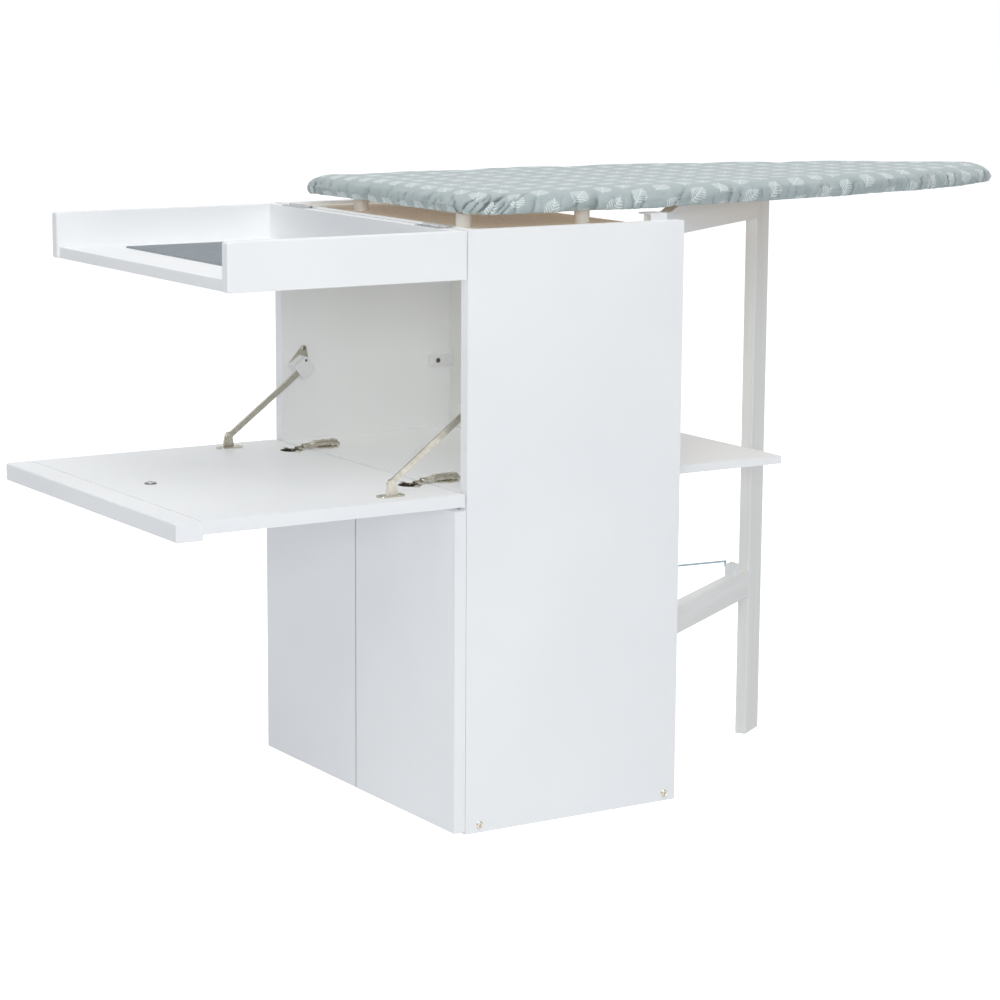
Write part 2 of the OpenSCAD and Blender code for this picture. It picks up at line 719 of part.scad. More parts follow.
module gate_lower_rail() color("#c9cacd") at_gate()
    block([-gate_t / 2, stile_end, low_rail_z], [gate_t / 2, leg_in, low_rail_z + gate_rail_h]);

module gate_bottom_pin() color("#9a9da2") translate([pivot_x, pivot_y, 0]) {
    translate([0, 0, 3]) cylinder(h = bottom_t + 20 - 3, r = pivot_r);
    difference() {
        translate([0, 0, bottom_t]) cylinder(h = stile_lift - 0.2, r = pivot_r + 4);
        translate([0, 0, bottom_t - cut]) cylinder(h = stile_lift + cut, r = pivot_r - 0.5);
    }
}

module gate_top_bracket() color("#d9dadb") {
    plate_z = stile_top_z + slide_clear;
    block([pivot_x - bracket_w / 2, pivot_y - bracket_w / 2, plate_z],
          [inner_x, pivot_y + bracket_w / 2, plate_z + bracket_t]);
    block([inner_x - bracket_t, pivot_y - bracket_w / 2, plate_z - 35],
          [inner_x, pivot_y + bracket_w / 2, plate_z]);
    translate([pivot_x, pivot_y, plate_z - 20]) cylinder(h = 20, r = pivot_r);
}

module hook_keeper() color("white") at_gate() {
    block([-gate_t / 2, keeper_d - keeper_l / 2, keeper_z], [gate_t / 2, keeper_d + keeper_l / 2, keeper_z + keeper_h]);
    translate([0, keeper_d, keeper_z + keeper_h]) cylinder(h = keeper_screw_h, r = keeper_screw_r);
}

// Rear shelf, its hinge line along the top of its front edge
module shelf_mortises() {
    for (x = shelf_hinge_x) {
        block([x - shelf_hinge_l / 2, back_out_y - shelf_leaf_t + shelf_gap, shelf_axis_z - cut],
              [x + shelf_hinge_l / 2, back_out_y + cut, shelf_axis_z + shelf_leaf_w]);
        block([x - shelf_hinge_l / 2, back_out_y, shelf_top_z - shelf_leaf_t + shelf_gap],
              [x + shelf_hinge_l / 2, shelf_axis_y + shelf_leaf_w, shelf_top_z + cut]);
        bar_x(x - shelf_hinge_l / 2 - cut, x + shelf_hinge_l / 2 + cut, shelf_axis_y, shelf_axis_z,
              shelf_knuckle_r + slide_clear);
    }
}

module rear_shelf() color("#dfe1e1") difference() {
    translate([0, 0, shelf_top_z - shelf_t]) linear_extrude(shelf_t) difference() {
        translate([shelf_left_x, back_out_y]) square([shelf_w, shelf_l + shelf_gap]);
        translate([shelf_left_x, shelf_axis_y + shelf_l]) difference() {
            translate([-cut, -shelf_corner_r]) square([shelf_corner_r + cut, shelf_corner_r + cut]);
            translate([shelf_corner_r, -shelf_corner_r]) circle(r = shelf_corner_r);
        }
    }
    shelf_mortises();
}

module shelf_leaf_barrels(spans) for (x = shelf_hinge_x, sp = spans)
    bar_x(x + (sp[0] - 0.5) * shelf_hinge_l, x + (sp[1] - 0.5) * shelf_hinge_l, shelf_axis_y, shelf_axis_z,
          shelf_knuckle_r);

module shelf_leaf_cuts(spans) {
    for (x = shelf_hinge_x, sp = spans)
        bar_x(x + (sp[0] - 0.5) * shelf_hinge_l - slide_clear, x + (sp[1] - 0.5) * shelf_hinge_l + slide_clear,
              shelf_axis_y, shelf_axis_z, shelf_knuckle_r + slide_clear);
    for (x = shelf_hinge_x)
        bar_x(x - shelf_hinge_l, x + shelf_hinge_l, shelf_axis_y, shelf_axis_z, shelf_pin_r + pin_clear);
}

module shelf_hinge_fixed_leaves() color("#b9bcc0") difference() {
    union() {
        for (x = shelf_hinge_x)
            block([x - shelf_hinge_l / 2, back_out_y - shelf_leaf_t + shelf_gap, shelf_axis_z + 1],
                  [x + shelf_hinge_l / 2, back_out_y + shelf_gap - 0.05, shelf_axis_z + shelf_leaf_w]);
        shelf_leaf_barrels(outer_spans);
    }
    shelf_leaf_cuts(middle_span);
}

module shelf_hinge_moving_leaves() color("#b9bcc0") difference() {
    union() {
        for (x = shelf_hinge_x)
            block([x - shelf_hinge_l / 2, shelf_axis_y + 1, shelf_top_z - shelf_leaf_t + shelf_gap],
                  [x + shelf_hinge_l / 2, shelf_axis_y + shelf_leaf_w, shelf_top_z + shelf_gap - 0.05]);
        shelf_leaf_barrels(middle_span);
    }
    shelf_leaf_cuts(outer_spans);
}

module shelf_hinge_pins() color("#9a9da2") for (x = shelf_hinge_x)
    bar_x(x - shelf_hinge_l / 2, x + shelf_hinge_l / 2, shelf_axis_y, shelf_axis_z, shelf_pin_r);

// Hook: a plate with a barrel on the back panel, and a bent wire that reaches the keeper on the gate
module hook_plate() color("#b9bcc0") {
    z0 = hook_z + hook_rise - hook_dia / 2 - hook_bend_l - hook_barrel_l;
    difference() {
        union() {
            block([hook_x - hook_plate_w / 2, back_out_y, z0 - hook_plate_lip],
                  [hook_x + hook_plate_w / 2, back_out_y + hook_plate_t, z0 + hook_barrel_l + hook_plate_lip]);
            translate([hook_x, hook_y, z0]) cylinder(h = hook_barrel_l, r = hook_barrel_r);
            block([hook_x - hook_dia / 2, back_out_y, z0], [hook_x + hook_dia / 2, hook_y, z0 + hook_barrel_l]);
        }
        translate([hook_x, hook_y, z0 - cut]) cylinder(h = hook_barrel_l + 2 * cut, r = hook_dia / 2 + pin_clear);
    }
}

module hook_wire() color("#9fb3bd") {
    r = hook_dia / 2;
    slope = atan2(hook_rise, hook_run);
    translate([hook_x, hook_y, hook_z + hook_rise]) {
        translate([0, 0, -hook_pin_l]) cylinder(h = hook_pin_l, r = r);
        sphere(r = hook_bend_r);
        rotate([0, 90 + slope, hook_turn]) cylinder(h = norm([hook_run, hook_rise]), r = r);
    }
    translate([hook_end_x, hook_end_y, hook_z]) {
        sphere(r = hook_bend_r);
        translate([0, 0, -hook_tip_l]) cylinder(h = hook_tip_l, r = r);
    }
}

side_panel_right();
side_panel_left();
bottom_panel();
compartment_floor();
top_panel();
top_front_rail();
back_panel();
corner_block();
body_screws();
catch_magnet();
board_posts();
board_core();
board_cover();
lid_hinge_fixed_leaves();
lid_hinge_pins();
flap_hinge_arms();
door_hinge_arms();
door_push_catches();
stay_guides();
stay_guide_plates();
gate_bottom_pin();
gate_top_bracket();
shelf_hinge_fixed_leaves();
shelf_hinge_pins();
hook_plate();
flap_panel();
flap_grip();
strike_button();
flap_hinge_cups();
stay_feet();
stay_bars();
lid_panel();
lid_wall_right();
lid_wall_left();
lid_rail();
heat_plate();
lid_hinge_moving_leaves();
door_right();
door_left();
door_right_hinge_cups();
door_left_hinge_cups();
gate_leg();
gate_stile();
gate_upper_rail();
gate_lower_rail();
hook_keeper();
rear_shelf();
shelf_hinge_moving_leaves();
hook_wire();
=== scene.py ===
"""Ironing board cabinet: looks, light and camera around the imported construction.

The white cupboard stands open: its fall front is down on two stays, its lid is turned over to
the front as a tray, and a gate behind carries the padded board. Everything is in metres, in the
frame of the construction: +X to the right seen from the front, +Y to the back, +Z up. Sizes of
the fittings are written in millimetres, as a maker would, and MM turns them into metres.
"""

import logging
import math
from dataclasses import dataclass, field
from enum import Enum
from functools import partial
from typing import Callable, Sequence

import bmesh
import bpy
import numpy as np
from mathutils import Matrix, Vector


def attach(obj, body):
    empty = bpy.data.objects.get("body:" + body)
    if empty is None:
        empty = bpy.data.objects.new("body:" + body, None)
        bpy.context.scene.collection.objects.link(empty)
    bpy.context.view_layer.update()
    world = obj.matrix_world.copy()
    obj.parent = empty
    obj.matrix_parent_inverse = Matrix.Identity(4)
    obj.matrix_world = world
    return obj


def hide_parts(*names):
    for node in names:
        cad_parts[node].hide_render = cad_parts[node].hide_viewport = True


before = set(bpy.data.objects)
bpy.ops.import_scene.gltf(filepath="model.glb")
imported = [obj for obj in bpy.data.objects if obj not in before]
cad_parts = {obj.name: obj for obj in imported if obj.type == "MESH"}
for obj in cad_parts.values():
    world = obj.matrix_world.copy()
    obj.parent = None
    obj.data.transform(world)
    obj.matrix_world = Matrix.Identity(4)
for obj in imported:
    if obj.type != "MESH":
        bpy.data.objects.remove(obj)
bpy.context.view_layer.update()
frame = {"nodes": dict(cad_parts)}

logging.basicConfig(level=logging.INFO, format="%(name)s: %(message)s")
LOG = logging.getLogger("cabinet")

Material = bpy.types.Material
Node = bpy.types.Node
Piece = bpy.types.Object
Socket = bpy.types.NodeSocket
Tree = bpy.types.NodeTree
Colour = tuple[float, float, float, float]
Point = tuple[float, float, float]
Face = tuple[int, ...]
Values = dict[str | int, object]

MM = 0.001
WHITE: Colour = (1.0, 1.0, 1.0, 1.0)
SIDES = (("right", 1), ("left", -1))


# Colour and node helpers


def linear(code: str) -> Colour:
    """Turns an sRGB hex value into the linear colour that a shader takes.

    Args:
        code: Colour such as "#E4E6E8".

    Returns:
        Linear red, green, blue and an alpha of 1.
    """
    parts = [int(code[i : i + 2], 16) / 255 for i in (1, 3, 5)]
    lin = [c / 12.92 if c <= 0.04045 else ((c + 0.055) / 1.055) ** 2.4 for c in parts]
    return (lin[0], lin[1], lin[2], 1.0)


def add_node(tree: Tree, kind: str, options: Values | None = None, inputs: Values | None = None) -> Node:
    """Adds a shader node, sets it and links it.

    Args:
        tree: Node tree of the material or world.
        kind: Blender's name of the node type.
        options: Properties of the node itself.
        inputs: Values of its sockets, or output sockets to link to them.

    Returns:
        The new node.
    """
    made = tree.nodes.new(kind)
    for name, value in (options or {}).items():
        setattr(made, name, value)
    for name, value in (inputs or {}).items():
        if isinstance(value, Socket):
            tree.links.new(value, made.inputs[name])
        else:
            made.inputs[name].default_value = value
    return made


def new_material(name: str) -> tuple[Material, Tree]:
    """Starts a node material that is still empty.

    Args:
        name: Name of the finish.

    Returns:
        The material and its node tree.
    """
    made = bpy.data.materials.new(name)
    made.use_nodes = True
    made.node_tree.nodes.clear()
    return made, made.node_tree


def surface(tree: Tree, inputs: Values) -> None:
    """Gives a material its surface shader.

    Args:
        tree: Node tree of the material.
        inputs: Values of the shader's sockets, or output sockets to link to them.
    """
    shader = add_node(tree, "ShaderNodeBsdfPrincipled", inputs=inputs)
    add_node(tree, "ShaderNodeOutputMaterial", inputs={"Surface": shader.outputs["BSDF"]})


def ramp(tree: Tree, value: Socket, stops: Sequence[tuple[float, str]]) -> Socket:
    """Adds a colour ramp.

    Args:
        tree: Node tree.
        value: Socket that drives the ramp.
        stops: Position and sRGB hex colour of each stop.

    Returns:
        The ramp's colour socket.
    """
    made = add_node(tree, "ShaderNodeValToRGB", inputs={"Fac": value})
    bar = made.color_ramp
    while len(bar.elements) < len(stops):
        bar.elements.new(0.5)
    for element, (place, code) in zip(bar.elements, stops):
        element.position, element.color = place, linear(code)
    return made.outputs["Color"]


def mixed(tree: Tree, share: Socket | float, under: Socket, over: object, blend: str = "MIX") -> Socket:
    """Lays one colour over another.

    Args:
        tree: Node tree.
        share: How much of the upper colour shows.
        under: Lower colour.
        over: Upper colour, as a socket or a linear colour.
        blend: Blender's name of the way they mix.

    Returns:
        The mixed colour's socket.
    """
    kind = {"data_type": "RGBA", "blend_type": blend}
    return add_node(tree, "ShaderNodeMix", kind, {0: share, 6: under, 7: over}).outputs[2]


def math_node(tree: Tree, operation: str, *values: object) -> Socket:
    """Adds one step of arithmetic.

    Args:
        tree: Node tree.
        operation: Blender's name of the operation.
        values: Numbers or sockets, in the order of the node's inputs.

    Returns:
        The result's socket.
    """
    return add_node(tree, "ShaderNodeMath", {"operation": operation}, dict(enumerate(values))).outputs[0]


def object_point(tree: Tree, turn_z: float = 0.0) -> Socket:
    """Gives the place on the object in metres, turned about Z if asked.

    Args:
        tree: Node tree.
        turn_z: Angle in radians that lays a turned piece's length along Y.

    Returns:
        The vector's socket.
    """
    place = add_node(tree, "ShaderNodeTexCoord").outputs["Object"]
    if turn_z:
        turned = {"Vector": place, "Rotation": (0, 0, turn_z)}
        return add_node(tree, "ShaderNodeMapping", inputs=turned).outputs[0]
    return place


@dataclass(frozen=True)
class Grain:
    """Noise on a piece; a small stretch along an axis draws the noise out along it."""

    cells_per_metre: float
    octaves: float = 3.0
    stretch: Point = (1, 1, 1)

    def add(self, tree: Tree, place: Socket) -> Socket:
        """Adds the noise to a material.

        Args:
            tree: Node tree.
            place: Vector to read.

        Returns:
            The noise's value socket.
        """
        mapped = add_node(tree, "ShaderNodeMapping", inputs={"Vector": place, "Scale": self.stretch})
        cells = {"Vector": mapped.outputs[0], "Scale": self.cells_per_metre, "Detail": self.octaves}
        return add_node(tree, "ShaderNodeTexNoise", inputs=cells).outputs["Fac"]


def bump(tree: Tree, height: Socket, strength: float, distance: float, under: Socket | None = None) -> Socket:
    """Turns a height into a bumped normal.

    Args:
        tree: Node tree.
        height: Height socket.
        strength: Share of the bump.
        distance: Depth in metres.
        under: Another bump's normal that this one lies on.

    Returns:
        The normal's socket.
    """
    inputs: Values = {"Height": height, "Strength": strength, "Distance": distance}
    if under is not None:
        inputs["Normal"] = under
    return add_node(tree, "ShaderNodeBump", inputs=inputs).outputs[0]


# Finishes


@dataclass(frozen=True)
class Skin:
    """A finish whose tone drifts in soft clouds, with a fine relief that its gloss follows."""

    name: str
    tone: str
    shade: str
    clouds: Grain
    relief: Grain
    stops: tuple[float, float] = (0.3, 0.7)
    roughness: float = 0.5
    roughness_spread: float = 0.0
    bump_share: float = 0.0
    bump_depth: float = 0.0
    metallic: float = 0.0
    specular: float = 0.5
    turn_z: float = 0.0

    def make(self) -> Material:
        """Builds the material.

        Returns:
            The material.
        """
        made, tree = new_material(self.name)
        place = object_point(tree, self.turn_z)
        low, high = self.stops
        clouds = ramp(tree, self.clouds.add(tree, place), [(low, self.shade), (high, self.tone)])
        relief = self.relief.add(tree, place)
        inputs = {"Base Color": self.marked(tree, place, clouds), "Roughness": self.roughness}
        inputs.update({"Metallic": self.metallic, "Specular IOR Level": self.specular})
        if self.roughness_spread:
            lowest = self.roughness - self.roughness_spread / 2
            inputs["Roughness"] = math_node(tree, "MULTIPLY_ADD", relief, self.roughness_spread, lowest)
        if self.bump_share:
            inputs["Normal"] = bump(tree, relief, self.bump_share, self.bump_depth)
        surface(tree, inputs)
        return made

    def marked(self, tree: Tree, place: Socket, colour: Socket) -> Socket:
        """Leaves the colour as it is; a finish with a mark on it lays it over here.

        Args:
            tree: Node tree.
            place: Place on the object.
            colour: Colour of the plain skin.

        Returns:
            The colour that shows.
        """
        return colour


@dataclass(frozen=True)
class Melamine(Skin):
    """Chipboard faced with melamine foil: a hard satin skin with a fine pearled grain.

    The real pearl grain is 0.3 mm wide; it is drawn at 1.1 mm so that it shows in the highlights.
    On a pair of doors a grey band is painted where the two leaves meet: painted shade of the narrow gap, so
    that the gap reads as a line.
    """

    name: str = "melamine_white"
    tone: str = "#F1F2F2"
    shade: str = "#ECEDEE"
    clouds: Grain = Grain(3.0, 2.0)
    relief: Grain = Grain(900.0, 2.0)
    stops: tuple[float, float] = (0.35, 0.65)
    roughness: float = 0.44
    roughness_spread: float = 0.16
    bump_share: float = 0.25
    bump_depth: float = 0.00012
    specular: float = 0.42
    # Half width and tone of the painted shade in the gap between the two doors
    gap_shade_half_width: float = 0.0
    gap_shade_tone: str = "#C2C4C4"

    def marked(self, tree: Tree, place: Socket, colour: Socket) -> Socket:
        """Paints the shade of the narrow gap between the doors as a grey band, where there is one.

        Args:
            tree: Node tree.
            place: Place on the object.
            colour: Colour of the plain foil.

        Returns:
            The colour that shows.
        """
        if not self.gap_shade_half_width:
            return colour
        # Painted shade: the grey band along x = 0 stands for the shade in the gap between the doors
        x = add_node(tree, "ShaderNodeSeparateXYZ", inputs={0: place}).outputs[0]
        near = math_node(tree, "LESS_THAN", math_node(tree, "ABSOLUTE", x), self.gap_shade_half_width)
        return mixed(tree, near, colour, linear(self.gap_shade_tone))


@dataclass(frozen=True)
class RawChipboard:
    """Unfaced chipboard: pressed flakes about three millimetres wide, pale, warm and dry."""

    name: str = "chipboard_raw"
    dark: str = "#E4DECD"
    mid: str = "#F1ECE0"
    light: str = "#F9F6EF"
    flakes_per_metre: float = 330.0
    flake_share: float = 0.6
    dust: Grain = Grain(500.0, 4.0)
    roughness: float = 0.85
    bump_share: float = 0.4
    bump_depth: float = 0.0004

    def make(self) -> Material:
        """Builds the material.

        Returns:
            The material.
        """
        made, tree = new_material(self.name)
        place = object_point(tree)
        cells = {"Vector": place, "Scale": self.flakes_per_metre, "Randomness": 1.0}
        flakes = add_node(tree, "ShaderNodeTexVoronoi", {"feature": "F1"}, cells).outputs["Color"]
        picked = add_node(tree, "ShaderNodeSeparateColor", inputs={"Color": flakes}).outputs[0]
        dust = math_node(tree, "MULTIPLY", self.dust.add(tree, place), 1 - self.flake_share)
        chips = math_node(tree, "ADD", math_node(tree, "MULTIPLY", picked, self.flake_share), dust)
        colour = ramp(tree, chips, [(0.2, self.dark), (0.5, self.mid), (0.85, self.light)])
        relief = bump(tree, chips, self.bump_share, self.bump_depth)
        surface(tree, {"Base Color": colour, "Roughness": self.roughness, "Normal": relief})
        return made


@dataclass(frozen=True)
class PaintedFibreboard(Skin):
    """Thin hardboard with a sprayed white face, which stays slightly cloudy and dull."""

    name: str = "hardboard_painted"
    tone: str = "#ECECE9"
    shade: str = "#E8E8E5"
    clouds: Grain = Grain(14.0)
    relief: Grain = Grain(700.0, 3.0, (1, 1, 0.4))
    roughness: float = 0.595
    roughness_spread: float = 0.15
    bump_share: float = 0.3
    bump_depth: float = 0.00015


class GrainRun(Enum):
    """Direction in which a timber's grain runs, as the stretch of its noise."""

    UP = (1, 1, 0.03)
    ALONG = (1, 0.03, 1)


@dataclass(frozen=True)
class PaintedPine(Skin):
    """Softwood under brushed white paint: the grain stands through as faint long ridges.

    The gate stands open by 32.5 degrees, and its grain turns with it.
    """

    name: str = "pine_painted_up"
    tone: str = "#ECECEA"
    shade: str = "#E3E3E0"
    clouds: Grain = Grain(60.0, 2.0, GrainRun.UP.value)
    relief: Grain = Grain(260.0, 4.0, GrainRun.UP.value)
    stops: tuple[float, float] = (0.35, 0.65)
    roughness: float = 0.49
    roughness_spread: float = 0.18
    bump_share: float = 0.35
    bump_depth: float = 0.0003
    turn_z: float = -math.radians(32.5)


@dataclass(frozen=True)
class PaintedPineRail(PaintedPine):
    """The same timber laid level, with its grain along the gate."""

    name: str = "pine_painted_along"
    clouds: Grain = Grain(60.0, 2.0, GrainRun.ALONG.value)
    relief: Grain = Grain(260.0, 4.0, GrainRun.ALONG.value)


@dataclass(frozen=True)
class MouldedPlastic(Skin):
    """Injection-moulded polyamide with a faint eroded texture, or paint as smooth as that."""

    clouds: Grain = Grain(60.0)
    relief: Grain = Grain(1400.0, 2.0)
    roughness: float = 0.42
    roughness_spread: float = 0.1
    bump_share: float = 0.3
    bump_depth: float = 0.00008


@dataclass(frozen=True)
class PlatedSteel(Skin):
    """Pressed steel with a thin plated skin: nickel looks warm grey, blue zinc looks cold."""

    clouds: Grain = Grain(120.0)
    relief: Grain = Grain(1600.0, 3.0, (0.15, 0.15, 1))
    roughness: float = 0.25
    roughness_spread: float = 0.22
    bump_share: float = 0.2
    bump_depth: float = 0.00006
    metallic: float = 1.0


@dataclass(frozen=True)
class RibbedAluminium(Skin):
    """Extruded aluminium strip with a dull grey oxide skin."""

    name: str = "aluminium_ribbed"
    tone: str = "#A9B0B5"
    shade: str = "#8F979D"
    clouds: Grain = Grain(1500.0, 3.0, (1, 0.02, 1))
    relief: Grain = Grain(1500.0, 3.0, (1, 0.02, 1))
    roughness_spread: float = 0.2
    metallic: float = 0.75


@dataclass(frozen=True)
class PressedCore(Skin):
    """Pressed board core of the ironing surface, pale brown with fine fibres."""

    name: str = "plywood_core"
    tone: str = "#C4A77B"
    shade: str = "#A5875B"
    clouds: Grain = Grain(320.0, 4.0, (1, 0.05, 1))
    relief: Grain = Grain(320.0, 4.0, (1, 0.05, 1))
    roughness: float = 0.7
    bump_share: float = 0.4
    bump_depth: float = 0.0003


@dataclass(frozen=True)
class PrintedCotton:
    """Woven cotton over padding, printed with a half-drop repeat of pale leafy sprigs.

    Threads lie 0.4 mm apart; they are drawn at 0.9 mm so that the weave still shows up close.
    """

    name: str = "cotton_sprigs"
    ground: str = "#ABB6B6"
    ground_shade: str = "#A2AEAE"
    print_tone: str = "#DEE5E4"
    fold_shade: str = "#909394"
    pitch_across: float = 0.044
    pitch_along: float = 0.052
    sprig_half_height: float = 0.0200
    sprig_half_width: float = 0.0130
    sprig_lean: tuple[float, float] = (0.5, -1.15)
    leaf_pitch: float = 0.0050
    leaf_slant: float = 0.75
    leaf_edges: tuple[float, float] = (0.22, 0.34)
    stem_edges: tuple[float, float] = (0.0006, 0.0013)
    ink_blur: float = 0.0008
    stem_end_blur: float = 0.003
    threads_per_metre: float = 350.0
    uv_map: str = "cloth"

    def _place_in_cell(self, tree: Tree) -> tuple[Socket, Socket]:
        """Gives the place inside one repeat, with each sprig leaning its own way.

        Args:
            tree: Node tree.

        Returns:
            Place across and along the sprig, in metres from its middle.
        """
        calc = partial(math_node, tree)
        uv = add_node(tree, "ShaderNodeUVMap", {"uv_map": self.uv_map}).outputs["UV"]
        parts = add_node(tree, "ShaderNodeSeparateXYZ", inputs={0: uv}).outputs
        along = calc("DIVIDE", parts[1], self.pitch_along)
        row = calc("FLOOR", along)
        half_drop = calc("MULTIPLY", calc("FLOORED_MODULO", row, 2.0), 0.5)
        across = calc("ADD", calc("DIVIDE", parts[0], self.pitch_across), half_drop)
        cell = add_node(tree, "ShaderNodeCombineXYZ", inputs={0: calc("FLOOR", across), 1: row}).outputs[0]
        lean = add_node(tree, "ShaderNodeTexWhiteNoise", {"noise_dimensions": "2D"}, {"Vector": cell})
        angle = calc("MULTIPLY_ADD", lean.outputs["Value"], *self.sprig_lean)
        x = calc("MULTIPLY", calc("SUBTRACT", calc("FRACT", across), 0.5), self.pitch_across)
        y = calc("MULTIPLY", calc("SUBTRACT", calc("FRACT", along), 0.5), self.pitch_along)
        cos, sin = calc("COSINE", angle), calc("SINE", angle)
        turned_x = calc("SUBTRACT", calc("MULTIPLY", x, cos), calc("MULTIPLY", y, sin))
        turned_y = calc("ADD", calc("MULTIPLY", x, sin), calc("MULTIPLY", y, cos))
        return turned_x, turned_y

    def _soft_step(self, tree: Tree, value: Socket, low: float, high: float) -> Socket:
        """Goes smoothly from 1 below low to 0 above high.

        Args:
            tree: Node tree.
            value: Socket to judge.
            low: Where it starts to fall.
            high: Where it reaches 0.

        Returns:
            The step's socket.
        """
        inputs = {"Value": value, "From Min": low, "From Max": high, "To Min": 1.0, "To Max": 0.0}
        return add_node(tree, "ShaderNodeMapRange", {"interpolation_type": "SMOOTHSTEP"}, inputs).outputs[0]

    def _sprig(self, tree: Tree) -> Socket:
        """Draws the sprig: a stem, and narrow leaves that rise from it inside a pointed outline.

        Args:
            tree: Node tree.

        Returns:
            How much ink lies at each place.
        """
        calc, step = partial(math_node, tree), partial(self._soft_step, tree)
        x, y = self._place_in_cell(tree)
        side = calc("ABSOLUTE", x)
        share = calc("DIVIDE", y, self.sprig_half_height)
        bow = calc("SUBTRACT", 1.0, calc("MULTIPLY", share, share))
        outline = calc("MULTIPLY", calc("MAXIMUM", bow, 0.0), self.sprig_half_width)
        inside = step(calc("SUBTRACT", side, outline), -self.ink_blur, self.ink_blur)
        slant = calc("SUBTRACT", y, calc("MULTIPLY", side, self.leaf_slant))
        phase = calc("FRACT", calc("DIVIDE", slant, self.leaf_pitch))
        leaves = step(calc("ABSOLUTE", calc("SUBTRACT", phase, 0.5)), *self.leaf_edges)
        ends = (self.sprig_half_height, self.sprig_half_height + self.stem_end_blur)
        stem = calc("MULTIPLY", step(side, *self.stem_edges), step(calc("ABSOLUTE", y), *ends))
        return calc("MAXIMUM", stem, calc("MULTIPLY", leaves, inside))

    def make(self) -> Material:
        """Builds the material.

        Returns:
            The material.
        """
        made, tree = new_material(self.name)
        place = object_point(tree)
        ground = ramp(tree, Grain(35.0).add(tree, place), [(0.3, self.ground_shade), (0.7, self.ground)])
        # The ink sinks into the yarn, so its cover varies a little from place to place
        worn = math_node(tree, "MULTIPLY_ADD", Grain(420.0).add(tree, place), 0.5, 0.55)
        ink = math_node(tree, "MULTIPLY", self._sprig(tree), worn)
        printed = mixed(tree, ink, ground, linear(self.print_tone))
        # Cloth in the bottom of a fold is shaded
        fold = add_node(tree, "ShaderNodeAttribute", {"attribute_name": "fold"}).outputs["Fac"]
        depth = ramp(tree, fold, [(0.08, self.fold_shade), (0.46, "#FAFAFA"), (0.8, "#FFFFFF")])
        uv = add_node(tree, "ShaderNodeUVMap", {"uv_map": self.uv_map}).outputs["UV"]
        threads = {"Vector": uv, "Scale": self.threads_per_metre, "Distortion": 0.4}
        warp = add_node(tree, "ShaderNodeTexWave", {"bands_direction": "X"}, threads).outputs["Fac"]
        weft = add_node(tree, "ShaderNodeTexWave", {"bands_direction": "Y"}, threads).outputs["Fac"]
        soft = bump(tree, Grain(90.0).add(tree, place), 0.35, 0.0012)
        surface(tree, {
            "Base Color": mixed(tree, 1.0, printed, depth, "MULTIPLY"), "Roughness": 0.6,
            "Sheen Weight": 0.25, "Sheen Roughness": 0.4,
            "Normal": bump(tree, math_node(tree, "MULTIPLY", warp, weft), 0.3, 0.0002, soft),
        })
        return made


def finish_library() -> dict[str, Material]:
    """Builds every finish once.

    Returns:
        Materials by short name.
    """
    skins = {
        "board": Melamine(),
        # The doors' grey band where they meet is painted shade of the gap between them
        "door": Melamine("melamine_door", gap_shade_half_width=0.0016),
        "raw": RawChipboard(),
        "fibreboard": PaintedFibreboard(),
        "pine_up": PaintedPine(),
        "pine_along": PaintedPineRail(),
        "plastic": MouldedPlastic("plastic_white", "#E9EAEA", "#E2E3E3"),
        "post": MouldedPlastic("plastic_post", "#F3F2EF", "#EBEAE7", roughness=0.38),
        "dark": MouldedPlastic("plastic_dark", "#3C3A37", "#3A3835", roughness=0.45),
        "white_paint": MouldedPlastic("paint_white", "#E4E5E6", "#DDDEDF", roughness=0.35),
        "nickel": PlatedSteel("steel_nickel", "#D9D5CA", "#C4BEB0"),
        # A darker copy of the nickel: painted shade on small parts such as screws, rivets, the washer and the
        # hinge links
        "shaded_steel": PlatedSteel("steel_shaded", "#8B877E", "#6F6B63", roughness=0.33),
        "steel": PlatedSteel("steel_bright", "#C9CBCC", "#A6A9AB"),
        "zinc": PlatedSteel("steel_zinc", "#C2CCD2", "#A9B6BE", roughness=0.27),
        "wire": PlatedSteel("steel_wire", "#B4C8D2", "#A3B8C3", roughness=0.43, metallic=0.35),
        "ribbed": RibbedAluminium(),
        "core": PressedCore(),
        "cotton": PrintedCotton(),
    }
    return {name: skin.make() for name, skin in skins.items()}


# Mesh helpers


def finished(piece: Piece, material: Material, body: str) -> Piece:
    """Puts a new piece's place into its mesh, dresses it and lets it ride on its body.

    Args:
        piece: The new piece.
        material: Its finish.
        body: Construction body that it moves with.

    Returns:
        The same piece.
    """
    bpy.context.view_layer.update()
    piece.data.transform(piece.matrix_world)
    piece.matrix_world = Matrix.Identity(4)
    piece.data.materials.clear()
    piece.data.materials.append(material)
    LOG.info("%s rides on %s", piece.name, body)
    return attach(piece, body)


def grid_mesh(name: str, points: np.ndarray, faces: list[Face]) -> Piece:
    """Makes an object from points and faces.

    Args:
        name: Piece name.
        points: Array of points in metres.
        faces: Corner indices of each face.

    Returns:
        The linked object, with smooth faces that point outwards.
    """
    mesh = bpy.data.meshes.new(name)
    mesh.from_pydata([tuple(p) for p in points], [], faces)
    work = bmesh.new()
    work.from_mesh(mesh)
    bmesh.ops.recalc_face_normals(work, faces=work.faces)
    work.to_mesh(mesh)
    work.free()
    mesh.polygons.foreach_set("use_smooth", [True] * len(mesh.polygons))
    piece = bpy.data.objects.new(name, mesh)
    bpy.context.scene.collection.objects.link(piece)
    return piece


